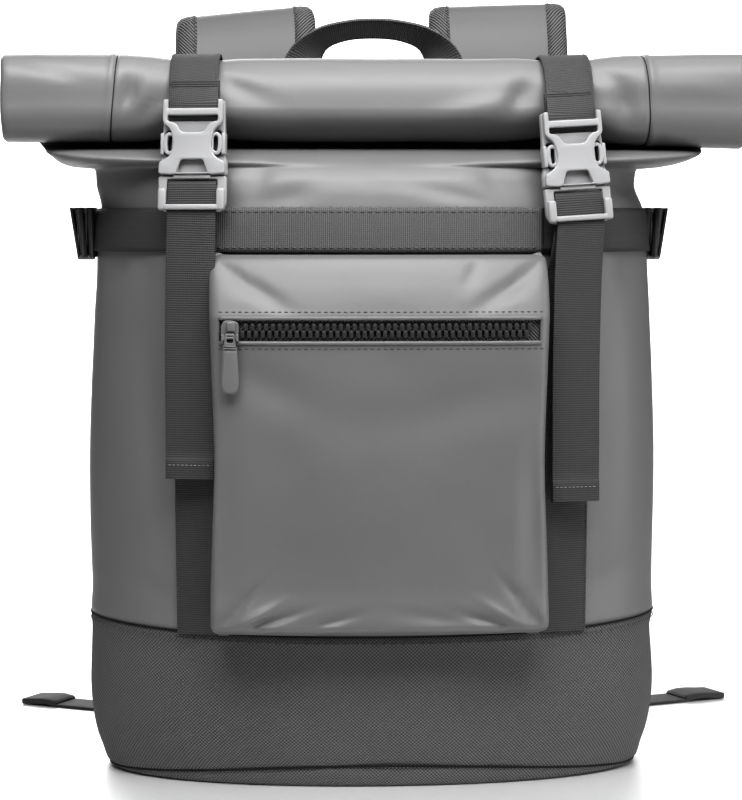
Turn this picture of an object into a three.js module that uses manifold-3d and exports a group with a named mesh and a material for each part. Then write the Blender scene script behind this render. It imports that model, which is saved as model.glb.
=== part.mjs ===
// Rolltop backpack: a coated-cloth bag with a rolled mouth, a woven base, a zipped front
// pocket, two buckled closing straps, a haul handle and padded shoulder straps.
// Millimetres, +X to the right, +Y to the back, +Z up, the front faces -Y.
import * as THREE from 'three';
import { ParametricGeometry } from 'three/addons/geometries/ParametricGeometry.js';
import { mergeVertices } from 'three/addons/utils/BufferGeometryUtils.js';
import Module from 'manifold-3d';

const wasm = await Module();
wasm.setup();

// Cloth, webbing and the air between two pieces that touch
const GAP = 0.3;
const CLOTH = 1.6;
const BASE_CLOTH = 2.2;
const WEB = 1.6;

// The bag
const BODY_WIDTH = 336;
const BODY_DEPTH = 160;
const FRONT_OVERHANG = 4;
const BASE_HEIGHT = 85;
const SHOULDER_HEIGHT = 330;
const ROLL_HEIGHT = 384;
const AROUND = 40;

// The roll: a flattened tube, two walls and the air between them, wound forward
const ROLL_WIDTH = 424;
const ROLL_RADIUS = 26;
const ROLL_SET_FORWARD = 38;
const ROLL_TURNS = 2.1;
const TUBE_AIR = 0.8;
const TURN_AIR = 0.8;
const TUBE_THICKNESS = 2 * CLOTH + TUBE_AIR;
const FIN_MIDDLE_Y = -ROLL_SET_FORWARD + ROLL_RADIUS - TUBE_THICKNESS / 2;

// The pocket and its zipper
const POCKET_WIDTH = 186;
const POCKET_BOTTOM = BASE_HEIGHT + 2;
const POCKET_TOP = 298;
const POCKET_DEPTH = 19;
const POCKET_FLATNESS = 0.55;
const SLOT_BOTTOM = 250;
const SLOT_HEIGHT = 13.5;
const SLOT_WIDTH = 170;
const TAPE_MARGIN = 3;
const TAPE_THICKNESS = 1;
const TOOTH_PITCH = 3.7;
const TEETH_WIDTH = 162;
const TEETH_HEIGHT = 7.8;
const TEETH_THICKNESS = 2.4;
const SLIDER_WIDTH = 9.6;
const SLIDER_HEIGHT = 11.4;
const SLIDER_THICKNESS = 2.2;
const LUG_REACH = 5.4;
const LUG_THICKNESS = 1.6;
const LUG_HEIGHT = 4;
const BRIDGE_RADIUS = 0.9;
const KNUCKLE_RADIUS = 2.3;
const PULL_LENGTH = 31;
const PULL_TOP_WIDTH = 7.6;
const PULL_BOTTOM_WIDTH = 9.8;
const PULL_THICKNESS = 1.8;

// The band across the front and its adjusters at the sides
const BAND_HEIGHT = 24.5;
const BAND_BOTTOM = 299.5;
const BAND_END_TURN = 0.5;
const SIDE_LOOP_REACH = 12;
const SIDE_LOOP_DEPTH = 26;
const SIDE_SLIDER_THICKNESS = 3;
const SIDE_LOOP_DROP = 4;
const SIDE_LOOP_HEIGHT = BAND_HEIGHT + 6;
const SIDE_SLIDER_HEIGHT = BAND_HEIGHT + 10;

// The front straps and their buckles
const STRAP_WIDTH = 27.6;
const STRAP_SPREAD = 106;
const STRAP_FOOT_SPREAD = 102;
const TAIL_SPREAD = 108.6;
const BUCKLE_TOP = 383;
const BUCKLE_TOP_Y = -70.5;
const BUCKLE_PITCH = THREE.MathUtils.degToRad(6.5);
const BUCKLE_YAW = THREE.MathUtils.degToRad(12);
const SOCKET_LENGTH = 41.8;
const SOCKET_WIDTH = 37.6;
const SOCKET_THICKNESS = 9;
const PLUG_RAIL = 2.2;
const SLOT_AIR = 2.6;
const END_BAR = 3;
const PLUG_FRAME_WIDTH = 38.2;
const PLUG_THICKNESS = 4.4;
const BAR_THICKNESS = 2;
const GRIP_BAR_HEIGHT = 8.6;
const BAR_DROP = 6.7;
const BAR_ROOT = 0.5;
const LIP_HEIGHT = 3.7;
const CAVITY_WALL = 2;
const CAVITY_SIDE = 5;
const RELEASE_WIDTH = 5.4;
const RELEASE_HEIGHT = 13;
const RELEASE_DOWN = 0.58;
const WINDOW_WIDTH = 13;
const WINDOW_HEIGHT = 7;
const WINDOW_RISE = 4.8;
const PLUG_STEP = 0.9;
const CHEEK_HEIGHT = 9;
const PRONG_WIDTH = 3.6;
const PRONG_LENGTH = 22;
const PRONG_SPREAD = 9.6;
const PRONG_ROOT = 0.2;
const BARB_WIDTH = 3;
const BARB_HEIGHT = 5;
const BARB_SPREAD = 12;
const BARB_RISE = 19;
const TONGUE_WIDTH = 9;
const TONGUE_LENGTH = 12;
const TAIL_BOTTOM = 174;
const RIGHT_DROP = 6;
const RIGHT_TURN = THREE.MathUtils.degToRad(3.5);
const RIGHT_TAIL_EXTRA = 8;
const TAIL_RETURN = -0.5;

// The back: yoke, handle, shoulder straps and the webbing below them
const YOKE_WIDTH = 250;
const YOKE_BOTTOM = 296;
const YOKE_TOP = 326;
const YOKE_THICKNESS = 2.4;
const YOKE_STAND = 0.4;
const HANDLE_WIDTH = 24;
const HANDLE_FOOT_SPREAD = 42;
const HANDLE_TOP = 434;
const PAD_WIDTH = 84;
const PAD_THICKNESS = 11;
const PAD_SPREAD = 78;
const PAD_TOP = 446;
const PAD_END_HEIGHT = 158;
const PAD_LOOP_DEPTH = 62;
const LOWER_WEB_WIDTH = 25;
const PAD_END_DROP = 3;
const LOCK_LENGTH = 24;
const LOCK_THICKNESS = 4;
const LOCK_RAIL = 4;
const LOCK_BAR = 4.4;
const LOWER_TAIL_REACH = 226;
const LOWER_TAIL_BACK = 190;
const ANCHOR_HEIGHT = 48;
const ANCHOR_WIDTH = 56;
const PATCH_STAND = 0.3;
const FLOOR_AIR = 0.3;

const COATED = { color: 0x6b6c6e, roughness: 0.5, metalness: 0 };
const WOVEN = { color: 0x4c4d4f, roughness: 0.9, metalness: 0 };
const WEBBING = { color: 0x37383a, roughness: 0.8, metalness: 0 };
const PLASTIC = { color: 0xa9abae, roughness: 0.35, metalness: 0 };
const DARK_PLASTIC = { color: 0x2f3032, roughness: 0.45, metalness: 0 };

// Merge the seams of a surface, drop triangles that folded to a line, and face it outward.
function tidy(geometry) {
  geometry.deleteAttribute('uv');
  geometry.deleteAttribute('normal');
  const merged = mergeVertices(geometry, 1e-3);
  const old = merged.getIndex().array;
  const place = merged.getAttribute('position');
  const corner = [new THREE.Vector3(), new THREE.Vector3(), new THREE.Vector3()];
  const kept = [];
  let volume = 0;
  for (let i = 0; i < old.length; i += 3) {
    const [a, b, c] = [old[i], old[i + 1], old[i + 2]];
    if (a === b || b === c || c === a) continue;
    kept.push(a, b, c);
    [a, b, c].forEach((index, k) => corner[k].fromBufferAttribute(place, index));
    volume += corner[0].dot(corner[1].clone().cross(corner[2]));
  }
  merged.setIndex(volume < 0 ? kept.reverse() : kept);
  merged.computeVertexNormals();
  return merged;
}

// A closed surface through rows of points that each go once around the piece. Its two ends
// meet each other, or each closes on a single point in the middle of its last row.
function skin(rows, endsMeet = false) {
  const middle = (row) => row.reduce((sum, p) => sum.add(p), new THREE.Vector3()).divideScalar(row.length);
  const all = endsMeet ? [...rows, rows[0]] : [[middle(rows[0])], ...rows, [middle(rows.at(-1))]];
  const columns = rows[0].length;
  const place = (u, v, target) => {
    const row = all[Math.round(v * (all.length - 1))];
    target.copy(row[Math.abs(Math.round(u * columns)) % row.length]);
  };
  return tidy(new ParametricGeometry(place, columns, all.length - 1));
}

// The same grid of points moved along its own normals, to the other side of a wall.
function offsetGrid(grid, distance, wraps) {
  const rows = grid.length;
  const columns = grid[0].length;
  const at = (j, k) => {
    const row = grid[THREE.MathUtils.clamp(j, 0, rows - 1)];
    return wraps ? row[(k + columns) % columns] : row[THREE.MathUtils.clamp(k, 0, columns - 1)];
  };
  return grid.map((row, j) => row.map((point, k) => {
    const along = at(j + 1, k).clone().sub(at(j - 1, k));
    const across = at(j, k + 1).clone().sub(at(j, k - 1));
    return point.clone().addScaledVector(across.cross(along).normalize(), distance);
  }));
}

// The inner face of a wall, level with the outer face along its rims.
function insideOf(grid, thickness, rims) {
  const inner = offsetGrid(grid, -thickness, true);
  for (const j of rims) inner.at(j).forEach((point, k) => point.setZ(grid.at(j)[k].z));
  return inner;
}

// An open-ended tube of cloth: the wall lies inside the grid.
function tubeWall(grid, thickness) {
  return skin([...grid, ...insideOf(grid, thickness, [0, -1]).reverse()], true);
}

// A panel with four free edges: each row goes out along one face and back along the other.
function panelWall(front, back) {
  const loops = front.map((row, j) => [...row, ...[...back[j]].reverse()]);
  const closing = (j) => {
    const halfway = front[j].map((p, k) => p.clone().lerp(back[j][k], 0.5));
    return [...halfway, ...[...halfway].reverse()];
  };
  return skin([closing(0), ...loops, closing(front.length - 1)]);
}

// Webbing: a flat section carried along stations, each with a middle, the direction of its
// width and, where it is not plain webbing, a width and thickness of its own.
function ribbon(stations, width = STRAP_WIDTH, thickness = WEB) {
  const rows = stations.map((station, i) => {
    const before = stations[Math.max(i - 1, 0)].at;
    const after = stations[Math.min(i + 1, stations.length - 1)].at;
    const tangent = after.clone().sub(before).normalize();
    const across = station.across.clone().addScaledVector(tangent, -station.across.dot(tangent)).normalize();
    const up = tangent.clone().cross(across);
    const w = (station.width ?? width) / 2;
    const t = (station.thickness ?? thickness) / 2;
    const corner = (s, q) => station.at.clone().addScaledVector(across, s * w).addScaledVector(up, q * t);
    return [corner(-1, -1), corner(1, -1), corner(1, 1), corner(-1, 1)];
  });
  return skin(rows);
}

const toSolid = (geometry) => {
  const clean = tidy(geometry);
  return new wasm.Manifold(new wasm.Mesh({
    numProp: 3,
    vertProperties: new Float32Array(clean.getAttribute('position').array),
    triVerts: new Uint32Array(clean.getIndex().array),
  }));
};

const toGeometry = (solid) => {
  const mesh = solid.getMesh();
  const geometry = new THREE.BufferGeometry();
  geometry.setAttribute('position', new THREE.BufferAttribute(new Float32Array(mesh.vertProperties), 3));
  geometry.setIndex(new THREE.BufferAttribute(new Uint32Array(mesh.triVerts), 1));
  geometry.computeVertexNormals();
  return geometry;
};

const box = (width, depth, height, x = 0, y = 0, z = 0) => (
  new THREE.BoxGeometry(width, depth, height).translate(x, y, z)
);

const rod = (radius, length, x, y, z, sides = 16) => (
  new THREE.CylinderGeometry(radius, radius, length, sides).rotateZ(Math.PI / 2).translate(x, y, z)
);

const mix = THREE.MathUtils.lerp;
const vec = (x, y, z) => new THREE.Vector3(x, y, z);

const backpack = new THREE.Group();
backpack.name = 'backpack';

function add(name, geometry, look, parent = backpack) {
  const mesh = new THREE.Mesh(geometry, new THREE.MeshStandardMaterial(look));
  mesh.name = name;
  parent.add(mesh);
  return mesh;
}

// Plan sections of the bag. Heights are shares of the stretch between the base and the
// shoulder; widths and depths are shares of the bag's own; a higher round is a squarer plan.
const BODY_SECTIONS = [
  { height: 0.0, width: 0.976, front: 1.0, back: 0.96, frontRound: 2.1, backRound: 2.7 },
  { height: 0.16, width: 0.985, front: 1.0, back: 0.98, frontRound: 2.1, backRound: 2.8 },
  { height: 0.5, width: 1.0, front: 1.0, back: 1.0, frontRound: 2.15, backRound: 3.0 },
  { height: 0.74, width: 0.986, front: 0.99, back: 1.0, frontRound: 2.15, backRound: 3.0 },
  { height: 0.92, width: 0.958, front: 0.97, back: 0.98, frontRound: 2.15, backRound: 3.0 },
  { height: 1.0, width: 0.942, front: 0.94, back: 0.94, frontRound: 2.15, backRound: 2.8 },
];

// Above the shoulder the cloth gathers to the flat fin behind the roll. Heights are shares
// of the rise to the roll's middle, the others are shares of the way from bag to fin.
const GATHER_SECTIONS = [
  { height: 0.16, width: -0.01, front: 0.13, back: 0.1 },
  { height: 0.28, width: 0.02, front: 0.3, back: 0.24 },
  { height: 0.36, width: 0.2, front: 0.48, back: 0.42 },
  { height: 0.43, width: 0.42, front: 0.66, back: 0.6 },
  { height: 0.52, width: 0.58, front: 0.84, back: 0.78 },
  { height: 0.66, width: 0.76, front: 0.98, back: 0.95 },
  { height: 0.86, width: 0.93, front: 1.0, back: 1.0 },
  { height: 1.0, width: 1.0, front: 1.0, back: 1.0 },
];
const FIN_ROUND = 8;

const bodyFront = -BODY_DEPTH / 2 - FRONT_OVERHANG;
const bodyBack = BODY_DEPTH / 2 - FRONT_OVERHANG;

// A section of the bag in millimetres at any height between the base and the shoulder.
function bodySection(z) {
  const share = THREE.MathUtils.clamp((z - BASE_HEIGHT) / (SHOULDER_HEIGHT - BASE_HEIGHT), 0, 1);
  const next = Math.max(1, BODY_SECTIONS.findIndex((row) => row.height >= share - 1e-9));
  const [low, high] = [BODY_SECTIONS[next - 1], BODY_SECTIONS[next]];
  const part = (share - low.height) / (high.height - low.height);
  return {
    z,
    halfWidth: mix(low.width, high.width, part) * BODY_WIDTH / 2,
    front: mix(low.front, high.front, part) * bodyFront,
    back: mix(low.back, high.back, part) * bodyBack,
    frontRound: mix(low.frontRound, high.frontRound, part),
    backRound: mix(low.backRound, high.backRound, part),
  };
}

// A point on a section: turn 0 is the right side, a quarter the back, three quarters the front.
function onSection(section, turn, out = 0) {
  const angle = turn * 2 * Math.PI;
  const atFront = Math.sin(angle) < 0;
  const middle = (section.front + section.back) / 2;
  const reach = (section.back - section.front) / 2 + out;
  const round = atFront ? section.frontRound : section.backRound;
  const fullness = (Math.abs(Math.cos(angle)) ** round + Math.abs(Math.sin(angle)) ** round) ** (-1 / round);
  const x = (section.halfWidth + out) * Math.cos(angle) * fullness;
  return vec(x, middle + reach * Math.sin(angle) * fullness, section.z);
}

// Where the bag's front or back lies at a place across and up.
function frontY(x, z) {
  const s = bodySection(z);
  const across = Math.min(Math.abs(x) / s.halfWidth, 1) ** s.frontRound;
  return (s.front + s.back) / 2 - ((s.back - s.front) / 2) * (1 - across) ** (1 / s.frontRound);
}

function backY(x, z) {
  const s = bodySection(z);
  const across = Math.min(Math.abs(x) / s.halfWidth, 1) ** s.backRound;
  return (s.front + s.back) / 2 + ((s.back - s.front) / 2) * (1 - across) ** (1 / s.backRound);
}

// The direction of a strap's width where it lies against the bag's front or back.
const alongSurface = (surface, x, z) => vec(2, surface(x + 1, z) - surface(x - 1, z), 0).normalize();

const ringOf = (section, out = 0) => (
  Array.from({ length: AROUND }, (unused, k) => onSection(section, k / AROUND, out))
);

function buildBody() {
  const seam = { ...bodySection(BASE_HEIGHT), z: BASE_HEIGHT + GAP };
  const sections = [seam, ...BODY_SECTIONS.slice(1).map((row) => (
    bodySection(mix(BASE_HEIGHT, SHOULDER_HEIGHT, row.height))
  ))];
  const shoulder = sections.at(-1);
  for (const row of GATHER_SECTIONS) {
    sections.push({
      z: mix(SHOULDER_HEIGHT, ROLL_HEIGHT - GAP, row.height),
      halfWidth: mix(shoulder.halfWidth, ROLL_WIDTH / 2, row.width),
      front: mix(shoulder.front, FIN_MIDDLE_Y - TUBE_THICKNESS / 2, row.front),
      back: mix(shoulder.back, FIN_MIDDLE_Y + TUBE_THICKNESS / 2, row.back),
      frontRound: mix(shoulder.frontRound, FIN_ROUND, Math.max(row.width, 0) ** 3),
      backRound: mix(shoulder.backRound, FIN_ROUND, Math.max(row.width, 0) ** 3),
    });
  }
  add('body_shell', tubeWall(sections.map((section) => ringOf(section)), CLOTH), COATED);
}

// The base's profile: heights are shares of its height, sizes are shares of its top plan.
const BASE_PROFILE = [
  { height: 0.0, size: 0.5 },
  { height: 0.0, size: 0.905 },
  { height: 0.02, size: 0.94 },
  { height: 0.14, size: 0.962 },
  { height: 0.27, size: 0.974 },
  { height: 0.6, size: 0.99 },
  { height: 1.0, size: 1.0 },
];

function buildBase() {
  const top = bodySection(BASE_HEIGHT);
  const middle = (top.front + top.back) / 2;
  const grid = BASE_PROFILE.map((row) => ringOf({
    ...top,
    z: row.height * BASE_HEIGHT,
    halfWidth: top.halfWidth * row.size,
    front: mix(middle, top.front, row.size),
    back: mix(middle, top.back, row.size),
  }));
  add('base', skin([...grid, ...insideOf(grid, BASE_CLOTH, [-1]).reverse()]), WOVEN);
}

// A place in the roll: turned from its back (0) over the top (a quarter) to the front (a
// half), with a distance out from the middle of the flattened tube.
function onRoll(turn, out) {
  const radius = ROLL_RADIUS - TUBE_THICKNESS / 2 - turn * (TUBE_THICKNESS + TURN_AIR) + out;
  const angle = turn * 2 * Math.PI;
  return { y: -ROLL_SET_FORWARD + radius * Math.cos(angle), z: ROLL_HEIGHT + radius * Math.sin(angle) };
}

function buildRoll() {
  const steps = Math.round(ROLL_TURNS * 16);
  const stations = [-1, -0.5, 0, 0.5, 1];
  const row = (turn, halfThickness, halfWidth) => {
    const ends = halfWidth - halfThickness;
    const point = (x, out) => vec(x, onRoll(turn, out).y, onRoll(turn, out).z);
    return [
      point(-halfWidth, 0),
      ...stations.map((share) => point(share * ends, halfThickness)),
      point(halfWidth, 0),
      ...[...stations].reverse().map((share) => point(share * ends, -halfThickness)),
    ];
  };
  const turns = Array.from({ length: steps + 1 }, (unused, i) => ROLL_TURNS * i / steps);
  const outer = turns.map((turn) => row(turn, TUBE_THICKNESS / 2, ROLL_WIDTH / 2));
  const inner = turns.map((turn) => row(turn, TUBE_AIR / 2, ROLL_WIDTH / 2 - CLOTH));
  add('roll_top', skin([...outer, ...inner.reverse()], true), COATED);
}

// The pocket's section from one foot, round its front, to the other foot: how far across
// it lies (as a share of the half width) and how far forward (as a share of the depth).
const POCKET_ACROSS = [
  { across: -0.925, forward: 0.0 },
  { across: -0.975, forward: 0.45 },
  { across: -1.0, forward: 0.78 },
  { across: -0.96, forward: 0.95 },
  { across: -0.8, forward: 1.0 },
  { across: -0.6, forward: 1.0 },
  { across: -0.4, forward: 1.0 },
  { across: -0.2, forward: 1.0 },
  { across: 0.0, forward: 1.0 },
  { across: 0.2, forward: 1.0 },
  { across: 0.4, forward: 1.0 },
  { across: 0.6, forward: 1.0 },
  { across: 0.8, forward: 1.0 },
  { across: 0.96, forward: 0.95 },
  { across: 1.0, forward: 0.78 },
  { across: 0.975, forward: 0.45 },
  { across: 0.925, forward: 0.0 },
];
// The same up the pocket, with the full bottom, the pinched corners and the slack waist.
const POCKET_UP = [
  { up: 0.0, forward: 0.0, width: 0.93 },
  { up: 0.008, forward: 0.6, width: 0.96 },
  { up: 0.04, forward: 0.92, width: 0.985 },
  { up: 0.18, forward: 1.05, width: 0.985 },
  { up: 0.45, forward: 1.0, width: 0.96 },
  { up: 0.7, forward: 0.97, width: 0.975 },
  { up: 0.86, forward: 0.98, width: 0.99 },
  { up: 0.955, forward: 0.86, width: 0.985 },
  { up: 0.99, forward: 0.5, width: 0.94 },
  { up: 1.0, forward: 0.0, width: 0.92 },
];

function pocketGrid() {
  return POCKET_UP.map((row) => POCKET_ACROSS.map((column) => {
    const z = mix(POCKET_BOTTOM, POCKET_TOP, row.up);
    const x = column.across * row.width * POCKET_WIDTH / 2;
    const wall = frontY(x, z) - GAP;
    const flat = mix(wall, frontY(0, z) - GAP, POCKET_FLATNESS);
    const lean = column.forward * row.forward;
    return vec(x, mix(wall, flat, lean) - POCKET_DEPTH * lean, z);
  }));
}

// The pocket's front at the zipper, worked out from the same rows as its wall.
function pocketFrontY(x, z) {
  const grid = pocketGrid().map((row) => row.slice(2, -2));
  const up = grid.findIndex((row) => row[0].z >= z);
  const part = (z - grid[up - 1][0].z) / (grid[up][0].z - grid[up - 1][0].z);
  const column = (row) => {
    const next = Math.max(1, row.findIndex((p) => p.x >= x));
    return mix(row[next - 1].y, row[next].y, (x - row[next - 1].x) / (row[next].x - row[next - 1].x));
  };
  return mix(column(grid[up - 1]), column(grid[up]), part);
}

const slotMiddle = SLOT_BOTTOM + SLOT_HEIGHT / 2;

function buildPocket() {
  const front = pocketGrid();
  const inside = offsetGrid(front, -CLOTH, false).map((row) => row.map((point) => (
    vec(point.x, Math.min(point.y, frontY(point.x, point.z) - GAP), point.z)
  )));
  const pouch = toSolid(panelWall(front, inside));
  const reach = POCKET_DEPTH + BODY_DEPTH;
  const slotFront = bodyFront - reach / 2 - POCKET_DEPTH / 2;
  const slot = toSolid(box(SLOT_WIDTH, reach, SLOT_HEIGHT, 0, slotFront, slotMiddle));
  add('front_pocket', toGeometry(pouch.subtract(slot)), COATED);
}

// A strip that follows the inside or outside of the pocket's front across the slot.
function zipperStrip(middle, width, back, thickness, columns, heightAt) {
  const xs = Array.from({ length: columns + 1 }, (unused, k) => middle + width * (k / columns - 0.5));
  const rows = xs.map((x, k) => {
    const y = pocketFrontY(x, slotMiddle) + back;
    const half = heightAt(k) / 2;
    return [
      vec(x, y, slotMiddle - half),
      vec(x, y - thickness, slotMiddle - half),
      vec(x, y - thickness, slotMiddle + half),
      vec(x, y, slotMiddle + half),
    ];
  });
  return skin(rows);
}

const tapeFront = CLOTH + GAP * 2;
const teethFront = tapeFront - GAP - TEETH_THICKNESS;
const sliderX = -SLOT_WIDTH / 2 + SLIDER_WIDTH / 2 + 1;

function buildZipper() {
  const tapeHeight = SLOT_HEIGHT + 2 * TAPE_MARGIN;
  const tapeWidth = SLOT_WIDTH + 2 * GAP;
  const tape = zipperStrip(0, tapeWidth, tapeFront + TAPE_THICKNESS, TAPE_THICKNESS, 16, () => tapeHeight);
  add('zipper_tape', tape, WOVEN);
  const teeth = Math.round(TEETH_WIDTH / TOOTH_PITCH);
  const toothed = (k) => (k % 2 ? TEETH_HEIGHT : TEETH_HEIGHT * 0.72);
  const chainMiddle = SLOT_WIDTH / 2 - TEETH_WIDTH / 2 - 1;
  const chainBack = tapeFront - GAP;
  const chain = zipperStrip(chainMiddle, TEETH_WIDTH, chainBack, TEETH_THICKNESS, teeth * 2, toothed);
  const room = SLIDER_WIDTH / 2 + GAP;
  const cutterX = sliderX + room - SLOT_WIDTH / 2;
  const cutter = toSolid(box(SLOT_WIDTH, BODY_DEPTH, SLOT_HEIGHT, cutterX, bodyFront, slotMiddle));
  add('zipper_teeth', toGeometry(toSolid(chain).subtract(cutter)), DARK_PLASTIC);

  const slider = new THREE.Group();
  const sliderBack = pocketFrontY(sliderX, slotMiddle) + tapeFront - GAP - 0.6;
  slider.position.set(sliderX, sliderBack, slotMiddle);
  backpack.add(slider);
  const lugZ = -SLIDER_HEIGHT / 2 + LUG_HEIGHT / 2;
  const axisY = -SLIDER_THICKNESS - LUG_REACH + LUG_THICKNESS;
  const lugX = SLIDER_WIDTH / 2 - LUG_THICKNESS / 2;
  let body = toSolid(box(SLIDER_WIDTH, SLIDER_THICKNESS, SLIDER_HEIGHT, 0, -SLIDER_THICKNESS / 2, 0));
  for (const side of [-1, 1]) {
    const lugY = -SLIDER_THICKNESS - LUG_REACH / 2 + GAP;
    body = body.add(toSolid(box(LUG_THICKNESS, LUG_REACH + GAP, LUG_HEIGHT, side * lugX, lugY, lugZ)));
  }
  body = body.add(toSolid(rod(BRIDGE_RADIUS, 2 * lugX, 0, axisY, lugZ)));
  add('zipper_slider', toGeometry(body), DARK_PLASTIC, slider);

  const pull = new THREE.Group();
  pull.position.set(0, axisY, lugZ);
  slider.add(pull);
  const eyeWidth = SLIDER_WIDTH - 2 * LUG_THICKNESS - 2 * GAP;
  const tab = new THREE.Shape();
  const roundRadius = PULL_BOTTOM_WIDTH / 2;
  tab.moveTo(-eyeWidth / 2, 0);
  tab.lineTo(-eyeWidth / 2, -KNUCKLE_RADIUS - GAP);
  tab.lineTo(-PULL_TOP_WIDTH / 2, -KNUCKLE_RADIUS - GAP - 1);
  tab.lineTo(-roundRadius, roundRadius - PULL_LENGTH);
  tab.absarc(0, roundRadius - PULL_LENGTH, roundRadius, Math.PI, 2 * Math.PI, false);
  tab.lineTo(PULL_TOP_WIDTH / 2, -KNUCKLE_RADIUS - GAP - 1);
  tab.lineTo(eyeWidth / 2, -KNUCKLE_RADIUS - GAP);
  tab.lineTo(eyeWidth / 2, 0);
  const plate = new THREE.ExtrudeGeometry(tab, { depth: PULL_THICKNESS, bevelEnabled: false, curveSegments: 8 });
  plate.translate(0, 0, -PULL_THICKNESS / 2).rotateX(Math.PI / 2);
  const eye = toSolid(rod(KNUCKLE_RADIUS, eyeWidth, 0, 0, 0));
  const hole = toSolid(rod(BRIDGE_RADIUS + GAP, SLIDER_WIDTH, 0, 0, 0));
  add('zipper_pull', toGeometry(toSolid(plate).add(eye).subtract(hole)), DARK_PLASTIC, pull);
}

// The band lies on the bag and ends on both sides, where it turns back through a slider.
function buildBand() {
  const steps = 2 * Math.round(BAND_END_TURN * AROUND / 2);
  const first = Math.round(AROUND * 0.75 - steps / 2);
  const strip = (out) => [0, 0.5, 1].map((share) => (
    Array.from({ length: steps + 1 }, (unused, k) => (
      onSection(bodySection(BAND_BOTTOM + share * BAND_HEIGHT), (first + k) / AROUND, out)
    ))
  ));
  add('front_band', panelWall(strip(GAP + WEB), strip(GAP)), WEBBING);
  for (const side of [-1, 1]) buildSideLoop(side, (first + (side < 0 ? 0 : steps)) / AROUND);
}

// The loop's route: how far it stands out and how far it lies along the bag's side.
const SIDE_LOOP_ROUTE = [
  { out: 0.02, along: -1.0 },
  { out: 0.55, along: -0.9 },
  { out: 0.85, along: -0.45 },
  { out: 0.9, along: 0.1 },
  { out: 0.75, along: 0.6 },
  { out: 0.45, along: 0.95 },
  { out: 0.02, along: 1.0 },
];

// At each side the webbing stands out in a flat loop of folded layers, held by a slider.
function buildSideLoop(side, turn) {
  const name = side < 0 ? 'left' : 'right';
  const middleZ = BAND_BOTTOM + BAND_HEIGHT / 2 - SIDE_LOOP_DROP;
  const start = onSection(bodySection(middleZ), turn, GAP + WEB);
  const loop = new THREE.Group();
  const wallX = side * (bodySection(middleZ).halfWidth + GAP + WEB + GAP);
  loop.position.set(wallX, start.y, middleZ);
  backpack.add(loop);
  const half = SIDE_LOOP_DEPTH / 2;
  const out = side * SIDE_LOOP_REACH;
  const stations = SIDE_LOOP_ROUTE.map((row) => ({
    at: vec(out * row.out, half * row.along, 0),
    across: vec(0, 0, 1),
  }));
  add(`side_strap_${name}`, ribbon(stations, SIDE_LOOP_HEIGHT, 2 * WEB), WEBBING, loop);
  const farthest = SIDE_LOOP_ROUTE[3];
  const frameX = out * farthest.out + side * (WEB + GAP + SIDE_SLIDER_THICKNESS / 2);
  const frame = box(SIDE_SLIDER_THICKNESS, half, SIDE_SLIDER_HEIGHT, frameX, half * farthest.along, 0);
  add(`side_slider_${name}`, frame, PLASTIC, loop);
}

// A buckle lies in a frame of its own: X across, Z up from its top edge, -Y to the front.
function buckleFrame(side) {
  const frame = new THREE.Group();
  const turn = side > 0 ? -RIGHT_TURN : 0;
  frame.rotation.set(-BUCKLE_PITCH, turn, side * BUCKLE_YAW, 'ZYX');
  frame.position.set(side * STRAP_SPREAD, BUCKLE_TOP_Y, BUCKLE_TOP - (side > 0 ? RIGHT_DROP : 0));
  frame.updateMatrix();
  return frame;
}

const loopRadius = BAR_THICKNESS / 2 + GAP + WEB / 2;
const slotHalf = STRAP_WIDTH / 2 + GAP;
const barZ = -BAR_DROP;
const barLength = 2 * (slotHalf + BAR_ROOT);
const lipBack = loopRadius + WEB / 2 + GAP;
const cavityHalf = PLUG_THICKNESS / 2;
const gripZ = -SOCKET_LENGTH - GAP - PLUG_RAIL - SLOT_AIR - GRIP_BAR_HEIGHT / 2;
const endBarZ = gripZ - GRIP_BAR_HEIGHT / 2 - SLOT_AIR - END_BAR / 2;
const plugBottom = endBarZ - END_BAR / 2;

// The socket's outline on its right half, from the arm's tip to its lower edge: across and
// down as shares of its half width and its length.
const SOCKET_OUTLINE = [
  { across: 0.895, down: 0.0 },
  { across: 0.91, down: 0.4 },
  { across: 0.94, down: 0.58 },
  { across: 0.91, down: 0.74 },
  { across: 1.0, down: 0.82 },
  { across: 1.0, down: 0.96 },
  { across: 0.95, down: 1.0 },
];

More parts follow.
